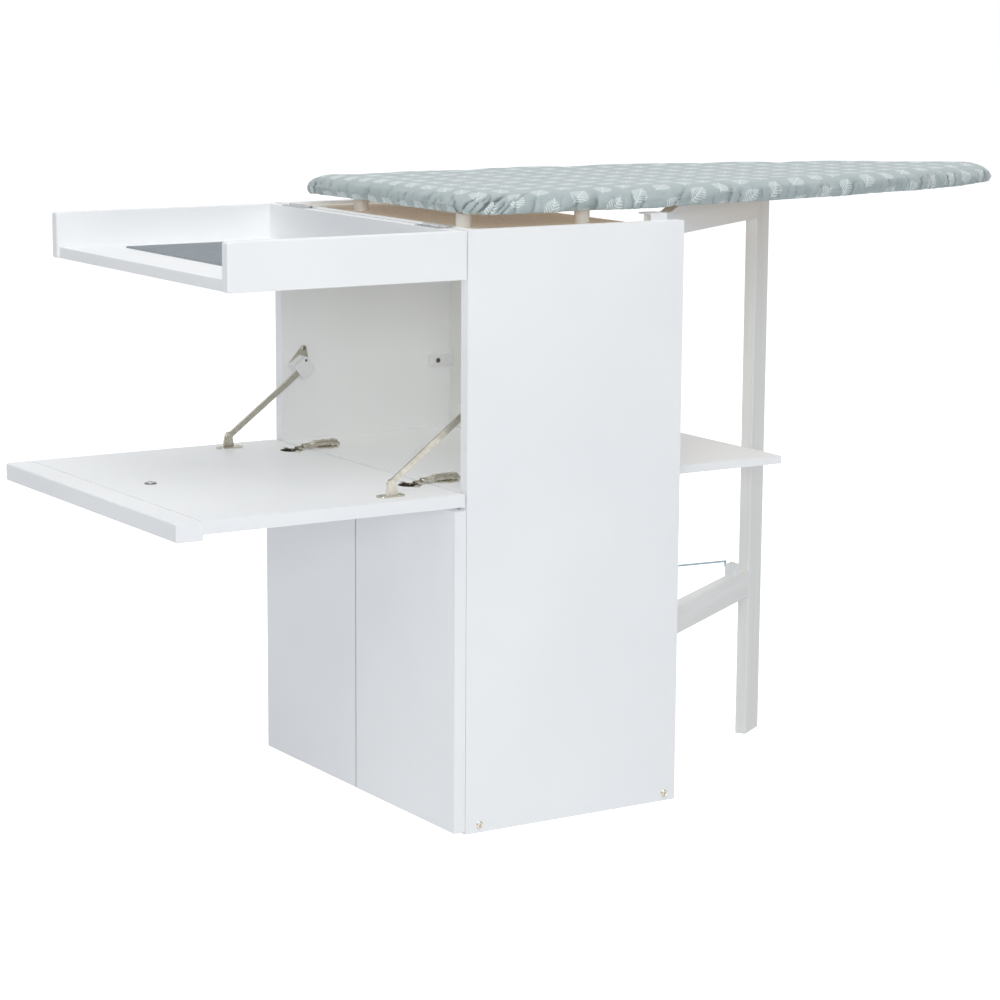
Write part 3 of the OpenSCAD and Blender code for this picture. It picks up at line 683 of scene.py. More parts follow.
def mesh_vectors(piece: Piece, what: str = "co") -> np.ndarray:
    """Reads a vector of every point of a mesh.

    Args:
        piece: Object to read.
        what: "co" for places, "normal" for normals.

    Returns:
        One row for each point.
    """
    flat = np.zeros(len(piece.data.vertices) * 3, np.float32)
    piece.data.vertices.foreach_get(what, flat)
    return flat.reshape(-1, 3).astype(float)


def move_points(piece: Piece, places: np.ndarray) -> None:
    """Puts the points of a mesh in new places.

    Args:
        piece: Object to change.
        places: One row for each point.
    """
    piece.data.vertices.foreach_set("co", places.astype(np.float32).ravel())
    piece.data.update()


def apply_modifiers(piece: Piece) -> None:
    """Applies every modifier of one object in order.

    Args:
        piece: Object that is shaped for good.
    """
    bpy.ops.object.select_all(action="DESELECT")
    piece.select_set(True)
    bpy.context.view_layer.objects.active = piece
    for modifier in list(piece.modifiers):
        bpy.ops.object.modifier_apply(modifier=modifier.name)


def directions(line: np.ndarray) -> np.ndarray:
    """Gives the direction of a closed line at each of its points.

    Args:
        line: Points in order.

    Returns:
        One unit vector for each point.
    """
    along = np.roll(line, -1, 0) - np.roll(line, 1, 0)
    return along / np.linalg.norm(along, axis=1)[:, None]


# Board cover


@dataclass(frozen=True)
class Pucker:
    """One fold of the gathered edge, in metres."""

    place: float
    depth: float
    width: float
    lean: float
    fade_from: float
    fade_length: float


@dataclass
class BoardCover:
    """The padded cloth cover: flat top, rolled edge, and the hem that grips under the core.

    The outline is the board's own: a square end with rounded corners, straight sides, then a
    taper to the nose. Elastic in the hem gathers the cloth into puckers along the edge.
    """

    length: float = 1.140
    width: float = 0.500
    end_y: float = -0.158
    straight: float = 0.280
    corner_r: float = 0.045
    taper_power: float = 1.3
    corner_steps: int = 12
    straight_steps: int = 46
    taper_steps: int = 170
    nose_share: float = 0.9998
    least_half_width: float = 0.0004
    hem_z: float = 0.8660
    core_bottom: float = 0.8680
    core_top: float = 0.8780
    top_z: float = 0.8950
    hem_width: float = 0.020
    core_inset: float = 0.003
    clearance: float = 0.0003
    columns: int = 44
    # Cloth: the first rings lie inside the pocket, and a few more are held by the hem
    pocket_rings: int = 3
    held_rings: int = 5
    pressure: float = 0.7
    spare_cloth: float = 0.03
    taut_from: float = 0.075
    puff_fade: float = 0.045
    most_move: float = 0.0026
    most_rise: float = 0.0018
    level_depth: float = 0.0070
    level_share: float = 0.25
    frames: int = 18
    # Puckers: each pair is the least and the most; corners deepen them and bring them closer
    seed: int = 7
    pitch: tuple[float, float] = (0.012, 0.034)
    corner_closes: float = 0.55
    sharpest_bend: float = 0.07
    depth: tuple[float, float] = (0.0010, 0.0023)
    corner_depth: tuple[float, float] = (0.0012, 0.0027)
    fold_width: tuple[float, float] = (0.0016, 0.0032)
    lean: tuple[float, float] = (-0.45, 0.45)
    fade_from: tuple[float, float] = (0.008, 0.022)
    fade_length: tuple[float, float] = (0.010, 0.022)
    edge_reach: float = 0.075
    pucker_reach: float = 0.03
    # A roll of spare cloth lies beside each fold: its share of the depth, its place and width in folds
    roll_share: float = 0.75
    roll_place: float = 2.6
    roll_width: float = 1.9
    roll_fade: float = 0.019
    deepest: float = 0.0042
    highest: float = 0.0034
    fold_range: float = 0.006
    # Slight swelling between the folds, as turns of a wave round the whole edge
    swells: int = 14
    swell_turns: tuple[int, int] = (15, 110)
    swell_height: float = 0.00022
    swell_lean: float = 0.4
    swell_fade: float = 0.05
    # Heights over the hem and distances in from the edge at which one zone of the cloth ends
    rim_height: float = 0.018
    grip_height: float = 0.0015
    hem_strip: float = 0.014
    ripple_strip: float = 0.012
    ripple_share: float = 0.8
    crown_from: float = 0.02
    # Cloth kept over the core's edge, and how far under and over the core that holds
    cloth_over_core: float = 0.0013
    under_core: float = 0.0009
    over_core: float = 0.0012

    def half_width(self, s: float) -> float:
        """Gives half the board's width at a distance from its square end.

        Args:
            s: Distance from the square end.

        Returns:
            Half the width.
        """
        if s <= self.straight:
            return self.width / 2
        share = (s - self.straight) / (self.length - self.straight)
        return self.width / 2 * max(0.0, 1 - share**self.taper_power) ** 0.5

    def side_outline(self) -> np.ndarray:
        """Gives the right side's outline from the corner's start to the nose, about 5 mm apart.

        Returns:
            Points in plan.
        """
        half, r = self.width / 2, self.corner_r
        turns = [math.pi / 2 * i / self.corner_steps for i in range(self.corner_steps + 1)]
        points = [(half - r + r * math.sin(a), r - r * math.cos(a)) for a in turns]
        run = self.straight - r
        points += [(half, r + run * i / self.straight_steps) for i in range(1, self.straight_steps)]
        for i in range(self.taper_steps + 1):
            share = self.nose_share * (1 - (1 - i / self.taper_steps) ** 2)
            s = self.straight + (self.length - self.straight) * share
            points.append((self.half_width(s), s))
        return np.array(points) + (0.0, self.end_y)

    def inset(self, side: np.ndarray, distance: float) -> np.ndarray:
        """Draws the side's outline in by a distance, along its normal.

        Args:
            side: Right side's outline.
            distance: How far in.

        Returns:
            The narrower outline.
        """
        before = np.vstack([[-side[0, 0], side[0, 1]], side[:-1]])
        after = np.vstack([side[1:], [-side[-1, 0], side[-1, 1]]])
        along = after - before
        along /= np.linalg.norm(along, axis=1)[:, None]
        moved = side + distance * np.stack([-along[:, 1], along[:, 0]], 1)
        moved[:, 0] = np.maximum(moved[:, 0], self.least_half_width)
        return moved

    def ring(self, distance: float, z: float) -> np.ndarray:
        """Gives one closed ring: right side, left side back, then the square end back to the start.

        Args:
            distance: How far in from the outline.
            z: Height.

        Returns:
            Points of the ring.
        """
        side = self.inset(self.side_outline(), distance)
        left = side[::-1] * np.array([-1, 1])
        share = np.linspace(0, 1, self.columns + 1)[1:-1, None]
        end = left[-1] * (1 - share) + side[0] * share
        flat = np.vstack([side, left, end])
        return np.column_stack([flat, np.full(len(flat), z)])

    def profile(self) -> list[tuple[float, float]]:
        """Gives the cloth's section from the pocket to the crown.

        Returns:
            Distance in from the edge and height of each ring.
        """
        under = self.core_bottom - self.clearance
        hem = [(d, self.hem_z) for d in (self.hem_width, 0.016, 0.012, 0.0085)]
        edge = [(0.0055, 0.8662), (0.0030, 0.8671), (0.0013, 0.8687), (0.0004, 0.8710), (0.0, 0.8738)]
        edge += [(0.0003, 0.8768), (0.0011, 0.8798), (0.0026, 0.8828), (0.0050, 0.8857), (0.0084, 0.8884)]
        crown = [(0.0130, 0.8908), (0.0185, 0.8926), (0.0250, 0.8939), (0.0320, 0.8947), (0.0400, 0.8951)]
        return [(self.hem_width, under), *hem, *edge, *crown]

    def build(self, finish: Material) -> Piece:
        """Builds the gathered cover.

        Args:
            finish: Printed cloth.

        Returns:
            The cover, riding on the body.
        """
        inner = self.core_inset - self.clearance
        lining = [(inner, self.core_top + self.clearance), (inner, self.core_bottom - self.clearance)]
        rings = [self.ring(d, z) for d, z in lining + self.profile()]
        side_count, count = len(self.side_outline()), len(rings[0])
        faces: list[Face] = []
        for j in range(len(rings) - 1):
            for i in range(count):
                a, b = j * count + i, j * count + (i + 1) % count
                faces.append((a, b, b + count, a + count))
        top, top_faces = self._top(len(rings) - 1, rings[-1], side_count)
        faces += top_faces + self._pocket_roof(side_count, count)
        points = np.vstack([*rings, top])
        depth = np.concatenate([np.repeat(np.arange(len(rings)), count), np.full(len(top), len(rings))])
        cover = grid_mesh("board_cover_cloth", points, faces)
        corners = np.zeros(len(cover.data.loops), np.int64)
        cover.data.loops.foreach_get("vertex_index", corners)
        flat = self._print_map(points, depth)[corners]
        cover.data.uv_layers.new(name="cloth").data.foreach_set("uv", flat.astype(np.float32).ravel())
        shell = cover.vertex_groups.new(name="shell")
        shell.add([int(i) for i in np.nonzero(depth > self.pocket_rings)[0]], 1.0, "REPLACE")
        self._settle(cover, depth, len(rings))
        smooth = cover.modifiers.new("smooth", "SUBSURF")
        smooth.levels = smooth.render_levels = 1
        smooth.uv_smooth = "PRESERVE_BOUNDARIES"
        apply_modifiers(cover)
        self._gather(cover)
        finished(cover, finish, "body")
        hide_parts("board_cover")
        return cover

    def _pocket_roof(self, side_count: int, count: int) -> list[Face]:
        """Closes the pocket over the core with strips across the board, out of sight on top of the core.

        Args:
            side_count: Points of one side.
            count: Points of a ring.

        Returns:
            The strips.
        """
        last = 2 * side_count - 1
        strips = [(i, i + 1, last - 1 - i, last - i) for i in range(1, side_count - 1)]
        return strips + [(0, 1, last - 1, *range(last, count))]

    def _top(self, index: int, ring: np.ndarray, side_count: int) -> tuple[np.ndarray, list[Face]]:
        """Fills the last ring with rows that run from its right side to its left side.

        Args:
            index: Number of the ring.
            ring: Its points.
            side_count: Points of one side.

        Returns:
            New points, which follow the rings' own, and the faces.
        """
        base, start = index * len(ring), (index + 1) * len(ring)
        inner: list[np.ndarray] = []
        names = np.zeros((side_count, self.columns + 1), int)
        for i in range(side_count):
            left = 2 * side_count - 1 - i
            names[i, 0], names[i, -1] = base + i, base + left
            for k in range(1, self.columns):
                if i == 0:
                    names[i, k] = base + 2 * side_count + (self.columns - 1 - k)
                    continue
                share = k / self.columns
                names[i, k] = start + len(inner)
                inner.append(ring[i] * (1 - share) + ring[left] * share)
        faces: list[Face] = []
        for i in range(side_count - 1):
            for k in range(self.columns):
                quad = (names[i, k], names[i, k + 1], names[i + 1, k + 1], names[i + 1, k])
                faces.append(tuple(int(q) for q in quad))
        return np.array(inner), faces

    def _print_map(self, points: np.ndarray, depth: np.ndarray) -> np.ndarray:
        """Lays the cloth flat: the top keeps its place, and the edge folds outwards by its own length.

        Args:
            points: Points of the cover.
            depth: Ring number of each point.

        Returns:
            Place of each point on the flat cloth.
        """
        along = directions(self.ring(0, 0)[:, :2])
        normal = np.stack([along[:, 1], -along[:, 0]], 1)
        sections = np.array([(self.core_inset, 0), (self.core_inset, 0)] + self.profile())
        crown = self.ring(sections[-1, 0], 0)[:, :2]
        run = 0.0
        flat = points[:, :2].copy()
        for j in range(len(sections) - 1, 1, -1):
            if j < len(sections) - 1:
                run += np.linalg.norm(sections[j] - sections[j + 1])
            flat[depth == j] = crown + normal * run
        return flat

    def _puckers(self, total: float, bend: Callable[[float], float]) -> list[Pucker]:
        """Lists the puckers round the edge.

        Args:
            total: Length of the edge.
            bend: How sharply the edge turns at a place, from 0 to 1.

        Returns:
            The puckers in order.
        """
        rng = np.random.default_rng(self.seed)
        puckers: list[Pucker] = []
        s = 0.0
        while s < total:
            curved = bend(s)
            s += rng.uniform(*self.pitch) * (1 - self.corner_closes * curved)
            depth = rng.uniform(*self.depth) + curved * rng.uniform(*self.corner_depth)
            # They lean towards the nose on both sides, and more so where the edge turns
            lean = (0.7 if s < total / 2 else -0.7) * (0.35 + curved) + rng.uniform(*self.lean)
            width, fade_from = rng.uniform(*self.fold_width), rng.uniform(*self.fade_from)
            fade_length = rng.uniform(*self.fade_length) * (1 + curved)
            puckers.append(Pucker(s, depth, width, lean, fade_from, fade_length))
        return puckers

    def _bend(self, closed: np.ndarray, place: np.ndarray) -> Callable[[float], float]:
        """Measures how sharply the edge turns, smoothed over its neighbourhood.

        Args:
            closed: Outline with its first point repeated at the end.
            place: Distance along the outline of each of its points.

        Returns:
            Function of the distance along the edge, from 0 to 1.
        """
        along = directions(closed[:-1])
        ahead = np.roll(along, -1, 0)
        step = np.linalg.norm(np.diff(closed, axis=0), axis=1)
        turn = np.abs(along[:, 0] * ahead[:, 1] - along[:, 1] * ahead[:, 0]) / step
        spread = np.exp(-((np.arange(-8, 9) / 4.0) ** 2))
        smooth = np.convolve(np.tile(turn, 3), spread / spread.sum(), "same")[len(turn) : 2 * len(turn)]
        sharp = np.clip(smooth * self.sharpest_bend, 0, 1)
        return lambda s: float(np.interp(s % place[-1], place[:-1], sharp))

    def _relief(
        self, s: np.ndarray, reach: np.ndarray, near: np.ndarray, puckers: list[Pucker], total: float
    ) -> np.ndarray:
        """Gives the height of the puckers and of the slight swelling between them.

        Args:
            s: Place of each point along the edge.
            reach: Its distance over the edge from the hem.
            near: Whether it lies where the cloth is gathered.
            puckers: The folds.
            total: Length of the edge.

        Returns:
            Height of each point over the smooth cloth.
        """
        height = np.zeros(len(s))
        for fold in puckers:
            away = (s - fold.place - fold.lean * reach + total / 2) % total - total / 2
            close = near & (np.abs(away) < self.pucker_reach)
            off, rise = away[close], reach[close]
            fade = np.exp(-((np.maximum(rise - fold.fade_from, 0) / fold.fade_length) ** 2))
            valley = -np.exp(-np.abs(off) / fold.width)
            beside = (off - self.roll_place * fold.width) / (self.roll_width * fold.width)
            roll = self.roll_share * np.exp(-(beside**2) - (rise / self.roll_fade) ** 2)
            height[close] += fold.depth * fade * (valley + roll)
        rng = np.random.default_rng(self.seed + 1)
        swell = np.zeros(len(s))
        for _ in range(self.swells):
            turns = rng.integers(*self.swell_turns)
            size = rng.uniform(0.3, 1.0)
            phase = rng.uniform(0, 6.28)
            swell += size * np.sin(2 * math.pi * turns * (s - self.swell_lean * reach) / total + phase)
        return height + near * self.swell_height * swell * np.exp(-((reach / self.swell_fade) ** 2))

    def _gather(self, cover: Piece) -> None:
        """Gathers the edge into slanting puckers that start at the elastic hem and fade out on the top.

        Args:
            cover: The settled cover.
        """
        outline = self.ring(0, 0)[:, :2]
        closed = np.vstack([outline, outline[:1]])
        place = np.concatenate([[0], np.cumsum(np.linalg.norm(np.diff(closed, axis=0), axis=1))])
        total = place[-1]
        points, normals = mesh_vectors(cover), mesh_vectors(cover, "normal")
        s, inward = self._project(points, closed, place)
        up = points[:, 2] - self.hem_z
        reach = up + np.where(up > self.rim_height, inward, 0.0)
        near = (inward < self.edge_reach) & ((up > 0.0004) | (inward < self.hem_strip))
        height = self._relief(s, reach, near, self._puckers(total, self._bend(closed, place)), total)
        # Nothing sinks under the hem's line, which the posts and the gate reach up to
        under = up < self.grip_height
        height[under] *= 0.5
        layer = cover.data.attributes.new("fold", "FLOAT", "POINT")
        layer.data.foreach_set("value", np.clip(0.5 + height / self.fold_range, 0, 1).astype(np.float32))
        moved = points + normals * np.clip(height, -self.deepest, self.highest)[:, None]
        rows = points[:, 2] >= self.hem_z - 0.0001
        hem = under & rows
        ripple = np.abs(height[hem]) * self.ripple_share * (inward[hem] < self.ripple_strip)
        moved[hem, 2] = self.hem_z + ripple
        moved[rows, 2] = np.maximum(moved[rows, 2], self.hem_z)
        self._clear_core(cover, moved, closed, place)
        crown = rows & (up > self.crown_from) & (inward > self.crown_from)
        moved[crown, 2] += self._felt(points[crown, 0], points[crown, 1])
        move_points(cover, moved)

    def _felt(self, x: np.ndarray, y: np.ndarray) -> np.ndarray:
        """Gives the slight unevenness of the felt under the flat top.

        Args:
            x: Places across the board.
            y: Places along it.

        Returns:
            Height at each place.
        """
        height = np.zeros(len(x))
        for i in range(1, 6):
            height += math.cos(i) * np.sin(x * (9 + 7 * i) + 2.1 * i) * np.sin(y * (7 + 5 * i) + 1.3 * i)
        return self.swell_height * height

    def _clear_core(self, cover: Piece, moved: np.ndarray, closed: np.ndarray, place: np.ndarray) -> None:
        """Pushes the outer cloth out again wherever a fold would cut into the core's edge.

        Args:
            cover: The cover.
            moved: New places of its points, which are corrected here.
            closed: Outline with its first point repeated at the end.
            place: Distance along the outline of each of its points.
        """
        group = cover.vertex_groups["shell"].index
        points = cover.data.vertices
        outer = np.array([any(g.group == group and g.weight > 0.9 for g in point.groups) for point in points])
        low, high = self.core_bottom - self.under_core, self.core_top + self.over_core
        chosen = np.nonzero(outer & (moved[:, 2] > low) & (moved[:, 2] < high))[0]
        s, inward = self._project(moved[chosen], closed, place)
        edge = np.column_stack([np.interp(s, place, closed[:, 0]), np.interp(s, place, closed[:, 1])])
        most = self.core_inset - self.cloth_over_core
        toward = moved[chosen, :2] - edge
        # A point outside the outline has its offset pointing out and stays where it is
        inside = np.abs(moved[chosen, 0]) < np.abs(edge[:, 0]) + 1e-6
        pull = (inward > most) & (inside | (toward[:, 1] > 0))
        share = most / np.maximum(inward, 1e-6)
        moved[chosen[pull], :2] = edge[pull] + toward[pull] * share[pull, None]

    def _project(
        self, points: np.ndarray, closed: np.ndarray, place: np.ndarray
    ) -> tuple[np.ndarray, np.ndarray]:
        """Finds each point's place along the outline and its distance in from it.

        Args:
            points: Points of the cover.
            closed: Outline with its first point repeated at the end.
            place: Distance along the outline of each of its points.

        Returns:
            Place along and distance in, in metres.
        """
        first, run = closed[:-1], np.diff(closed, axis=0)
        span = np.sum(run * run, axis=1)
        along, inward = np.zeros(len(points)), np.zeros(len(points))
        batch = 4000
        for low in range(0, len(points), batch):
            flat = points[low : low + batch, None, :2] - first[None]
            share = np.clip(np.sum(flat * run[None], axis=2) / span[None], 0, 1)
            gap = np.linalg.norm(flat - share[..., None] * run[None], axis=2)
            best = np.argmin(gap, axis=1)
            rows = np.arange(len(best))
            along[low : low + batch] = place[best] + share[rows, best] * np.sqrt(span[best])
            inward[low : low + batch] = gap[rows, best]
        return along, inward

    def _settle(self, cover: Piece, depth: np.ndarray, rings: int) -> None:
        """Lets the cloth settle over its padding, held where the hem grips the core.

        The cloth is cut a little larger than its padding, so it folds between the hem and the crown.
        Movement is capped, and dies out over the flat top, which stays taut.

        Args:
            cover: The smooth cover.
            depth: Ring number of each point.
            rings: Number of rings.
        """
        start = mesh_vectors(cover)
        inward = np.zeros(len(start))
        edge = self.ring(0, 0)[:, :2]
        for i in np.nonzero(depth >= rings)[0]:
            inward[i] = np.min(np.hypot(*(edge - start[i, :2]).T))
        still = (depth < self.held_rings) | (inward > self.taut_from)
        held = cover.vertex_groups.new(name="held")
        held.add([int(i) for i in np.nonzero(still)[0]], 1.0, "REPLACE")
        cloth = cover.modifiers.new("cloth", "CLOTH")
        cotton = cloth.settings
        cotton.quality = 6
        cotton.mass = 0.25
        cotton.tension_stiffness = cotton.compression_stiffness = 12.0
        cotton.bending_stiffness = 0.15
        cotton.use_pressure = True
        cotton.uniform_pressure_force = self.pressure
        cotton.shrink_min = -self.spare_cloth
        cotton.vertex_group_mass = "held"
        cotton.effector_weights.gravity = 0.0
        cloth.collision_settings.use_collision = False
        cloth.point_cache.frame_start, cloth.point_cache.frame_end = 1, self.frames
        for frame_number in range(1, self.frames + 1):
            bpy.context.scene.frame_set(frame_number)
        apply_modifiers(cover)
        bpy.context.scene.frame_set(1)
        moved = mesh_vectors(cover) - start
        # Felt under the flat top holds it level; the edge is free to puff
        moved[:, 2] *= np.where(start[:, 2] > self.top_z - self.level_depth, self.level_share, 1.0)
        size = np.linalg.norm(moved, axis=1)
        cap = self.most_move * np.exp(-((inward / self.puff_fade) ** 2))
        place = start + moved * np.minimum(1.0, cap / np.maximum(size, 1e-9))[:, None]
        outer = depth >= self.pocket_rings
        place[outer, 2] = np.clip(place[outer, 2], self.hem_z, self.top_z + self.most_rise)
        move_points(cover, place)
        LOG.info("cover settled: mean %.2f mm, most %.2f mm", size.mean() * 1000, size.max() * 1000)


# Construction nodes


@dataclass
class Dresser:
    """Gives each construction node its finish and softens its edges."""

    finishes: dict[str, Material]

    def plan(self) -> dict[str, tuple[str, float]]:
        """Lists how each node is dressed.

        Returns:
            Finish and edge radius in millimetres by node; a radius of 0 leaves the edges alone.
        """
        groups: list[tuple[str, float, str]] = [
            ("board", 0.7, "side_panel_right side_panel_left bottom_panel compartment_floor top_front_rail"),
            ("board", 0.7, "lid_panel lid_wall_right lid_wall_left lid_rail rear_shelf"),
            # The fall front's two pieces meet in a joint that hardly shows, so their edges stay crisp
            ("board", 0.3, "flap_panel flap_grip"),
            ("door", 0.7, "door_right door_left"),
            ("pine_up", 1.2, "gate_leg gate_stile"),
            ("pine_along", 1.2, "gate_upper_rail gate_lower_rail"),
            ("plastic", 0.5, "corner_block door_push_catches stay_guides hook_keeper"),
            ("nickel", 0.3, "body_screws catch_magnet flap_hinge_arms flap_hinge_cups door_hinge_arms"),
            ("nickel", 0.3, "door_right_hinge_cups door_left_hinge_cups stay_guide_plates stay_feet"),
            ("nickel", 0.3, "shelf_hinge_fixed_leaves shelf_hinge_pins shelf_hinge_moving_leaves"),
            ("nickel", 0.3, "stay_bars gate_bottom_pin"),
            ("steel", 0.3, "lid_hinge_fixed_leaves lid_hinge_pins lid_hinge_moving_leaves strike_button"),
            ("post", 0.8, "board_posts"),
            ("raw", 0.4, "top_panel"),
            ("fibreboard", 0.4, "back_panel"),
            ("core", 0.3, "board_core"),
            ("zinc", 0.2, "hook_plate"),
            ("wire", 0.0, "hook_wire"),
            ("white_paint", 0.4, "gate_top_bracket"),
            ("ribbed", 0.0, "heat_plate"),
        ]
        return {node: (finish, radius) for finish, radius, nodes in groups for node in nodes.split()}

    def dress(self, nodes: dict[str, Piece]) -> None:
        """Dresses every shown node.

        Args:
            nodes: Construction nodes by name.
        """
        for name, (finish, radius) in self.plan().items():
            node = nodes[name]
            node.data.materials.clear()
            node.data.materials.append(self.finishes[finish])
            if radius:
                self.soften(node, radius * MM)
            LOG.info("%s wears %s", name, finish)

    def soften(self, node: Piece, radius: float) -> None:
        """Joins the node's loose triangles and rounds its sharp edges, with modifiers alone.

        Args:
            node: Construction node.
            radius: Edge radius in metres.
        """
        node.modifiers.new("weld", "WELD").merge_threshold = 0.00001
        plain = node.modifiers.new("plain", "DECIMATE")
        plain.decimate_type = "DISSOLVE"
        plain.angle_limit = math.radians(0.6)
        bevelled(node, radius, 2, 35)
        node.modifiers.new("normals", "WEIGHTED_NORMAL").keep_sharp = True


# Hardware


def bevelled(piece: Piece, radius: float, segments: int, angle: float) -> bpy.types.Modifier:
    """Adds a bevel to the sharp edges of a piece.

    Args:
        piece: Piece to round.
        radius: Edge radius in metres.
        segments: Faces across the rounding.
        angle: Least angle of a sharp edge, in degrees.

    Returns:
        The modifier.
    """
    bevel = piece.modifiers.new("edges", "BEVEL")
    bevel.limit_method = "ANGLE"
    bevel.angle_limit = math.radians(angle)
    bevel.width = radius
    bevel.segments = segments
    return bevel


def rounded(piece: Piece, radius: float, segments: int = 3) -> Piece:
    """Rounds the sharp edges of a new piece and shades it smooth between them.

    Args:
        piece: Piece to round.
        radius: Edge radius in its own units.
        segments: Faces across the rounding.

    Returns:
        The same piece.
    """
    bevelled(piece, radius, segments, 40)
    apply_modifiers(piece)
    bpy.ops.object.shade_smooth_by_angle(angle=math.radians(38))
    return piece


def added(operator: Callable[..., object], **settings: object) -> Piece:
    """Runs one of the operators that add a shape, with nothing else selected.

    Args:
        operator: Operator such as bpy.ops.mesh.primitive_cube_add.
        settings: Its settings.

    Returns:
        The added object.
    """
    bpy.ops.object.select_all(action="DESELECT")
    operator(**settings)
    return bpy.context.object


def cut_out(piece: Piece, tool: Piece) -> None:
    """Cuts one shape out of another and removes it.

    Args:
        piece: Shape that is cut.
        tool: Shape that cuts.
    """
    cut = piece.modifiers.new("cut", "BOOLEAN")
    cut.object, cut.operation, cut.solver = tool, "DIFFERENCE", "EXACT"
    apply_modifiers(piece)
    bpy.data.objects.remove(tool)


def slab(low: Point, high: Point, radius: float, taper: float = 1.0) -> Piece:
    """Makes a block between two corners, in millimetres.

    Args:
        low: Lowest corner.
        high: Highest corner.
        radius: Edge radius.
        taper: Width of the front end as a share of the rear end's.

    Returns:
        The block, in metres.
    """
    middle = [(a + b) / 2 * MM for a, b in zip(low, high)]
    block = added(bpy.ops.mesh.primitive_cube_add, size=1, location=middle)
    block.scale = [(b - a) * MM for a, b in zip(low, high)]
    bpy.ops.object.transform_apply(location=False, rotation=False, scale=True)
    for vertex in block.data.vertices:
        if vertex.co.y < 0:
            vertex.co.x *= taper
    return rounded(block, radius * MM)


def rod(centre: Point, radius: float, depth: float, turn: Point = (0, 0, 0)) -> Piece:
    """Makes a plain cylinder, in millimetres.

    Args:
        centre: Its middle.
        radius: Its radius.
        depth: Its length.
        turn: Angles that lay it down from Z.

    Returns:
        The cylinder, in metres.
    """
    middle = [c * MM for c in centre]
    shape = {"vertices": 40, "radius": radius * MM, "depth": depth * MM, "location": middle, "rotation": turn}
    return added(bpy.ops.mesh.primitive_cylinder_add, **shape)


def drum(centre: Point, radius: float, depth: float, edge: float, across: bool = False) -> Piece:
    """Makes a disc or round bar with soft edges, in millimetres.

    Args:
        centre: Its middle.
        radius: Its radius.
        depth: Its length.
        edge: Edge radius.
        across: Lies along X and not along Z.

    Returns:
        The disc or bar, in metres.
    """
    return rounded(rod(centre, radius, depth, (0, math.pi / 2 if across else 0, 0)), edge * MM)


def sleeve(centre: Point, outer: float, inner: float, depth: float) -> Piece:
    """Makes an upright ring, in millimetres.

    Args:
        centre: Its middle.
        outer: Outer radius.
        inner: Inner radius.
        depth: Its height.

    Returns:
        The ring, in metres.
    """
    ring = drum(centre, outer, depth, 0.3)
    cut_out(ring, rod(centre, inner, depth * 3))
    return ring


def joined(name: str, parts: Sequence[Piece]) -> Piece:
    """Joins several shapes into one named piece.

    Args:
        name: Name of the piece.
        parts: Shapes, each with its own place.

    Returns:
        The piece.
    """
    for part in parts:
        bpy.ops.object.select_all(action="DESELECT")
        part.select_set(True)
        bpy.context.view_layer.objects.active = part
        bpy.ops.object.transform_apply(location=True, rotation=True, scale=True)
    bpy.ops.object.select_all(action="DESELECT")
    for part in parts:
        part.select_set(True)
    bpy.context.view_layer.objects.active = parts[0]
    if len(parts) > 1:
        bpy.ops.object.join()
    whole = bpy.context.object
    whole.name = whole.data.name = name
    return whole


@dataclass
class ScrewHead:
    """Pan head with a cross recess; every screw on the piece is a copy of one head at its own size."""

    template: Piece | None = field(default=None, init=False)

    def _build(self) -> None:
        """Builds a head of radius 1 that sits on z = 0."""
        shape = {"vertices": 40, "radius": 1, "depth": 0.5, "location": (0, 0, 0.25)}
        head = added(bpy.ops.mesh.primitive_cylinder_add, **shape)
        rounded(head, 0.2, 4)
        for angle in (0, math.pi / 2):
            bar = {"size": 1, "location": (0, 0, 0.5), "rotation": (0, 0, angle)}
            blade = added(bpy.ops.mesh.primitive_cube_add, **bar)
            blade.scale = (1.15, 0.24, 0.6)
            bpy.ops.object.transform_apply(location=True, rotation=True, scale=True)
            cut_out(head, blade)
        bpy.ops.object.select_all(action="DESELECT")
        head.hide_render = True
        self.template = head

    def at(self, place: Point, radius: float, turn: float = 0.4, facing: Point = (0, 0, 1)) -> Piece:
        """Makes one screw head, in millimetres.

        Args:
            place: Middle of its seat.
            radius: Head radius.
            turn: Angle of its cross.
            facing: Direction of its top.

        Returns:
            The new head with its own mesh.
        """
        if self.template is None:
            self._build()
        head = bpy.data.objects.new("screw", self.template.data.copy())
        bpy.context.scene.collection.objects.link(head)
        turned = Vector(facing).to_track_quat("Z", "Y").to_matrix().to_4x4() @ Matrix.Rotation(turn, 4, "Z")
        middle = Matrix.Translation([c * MM for c in place])
        head.matrix_world = middle @ turned @ Matrix.Scale(radius * MM, 4)
        return head

    def close(self) -> None:
        """Removes the pattern head once every screw is made."""
        if self.template is not None:
            bpy.data.objects.remove(self.template)
            self.template = None


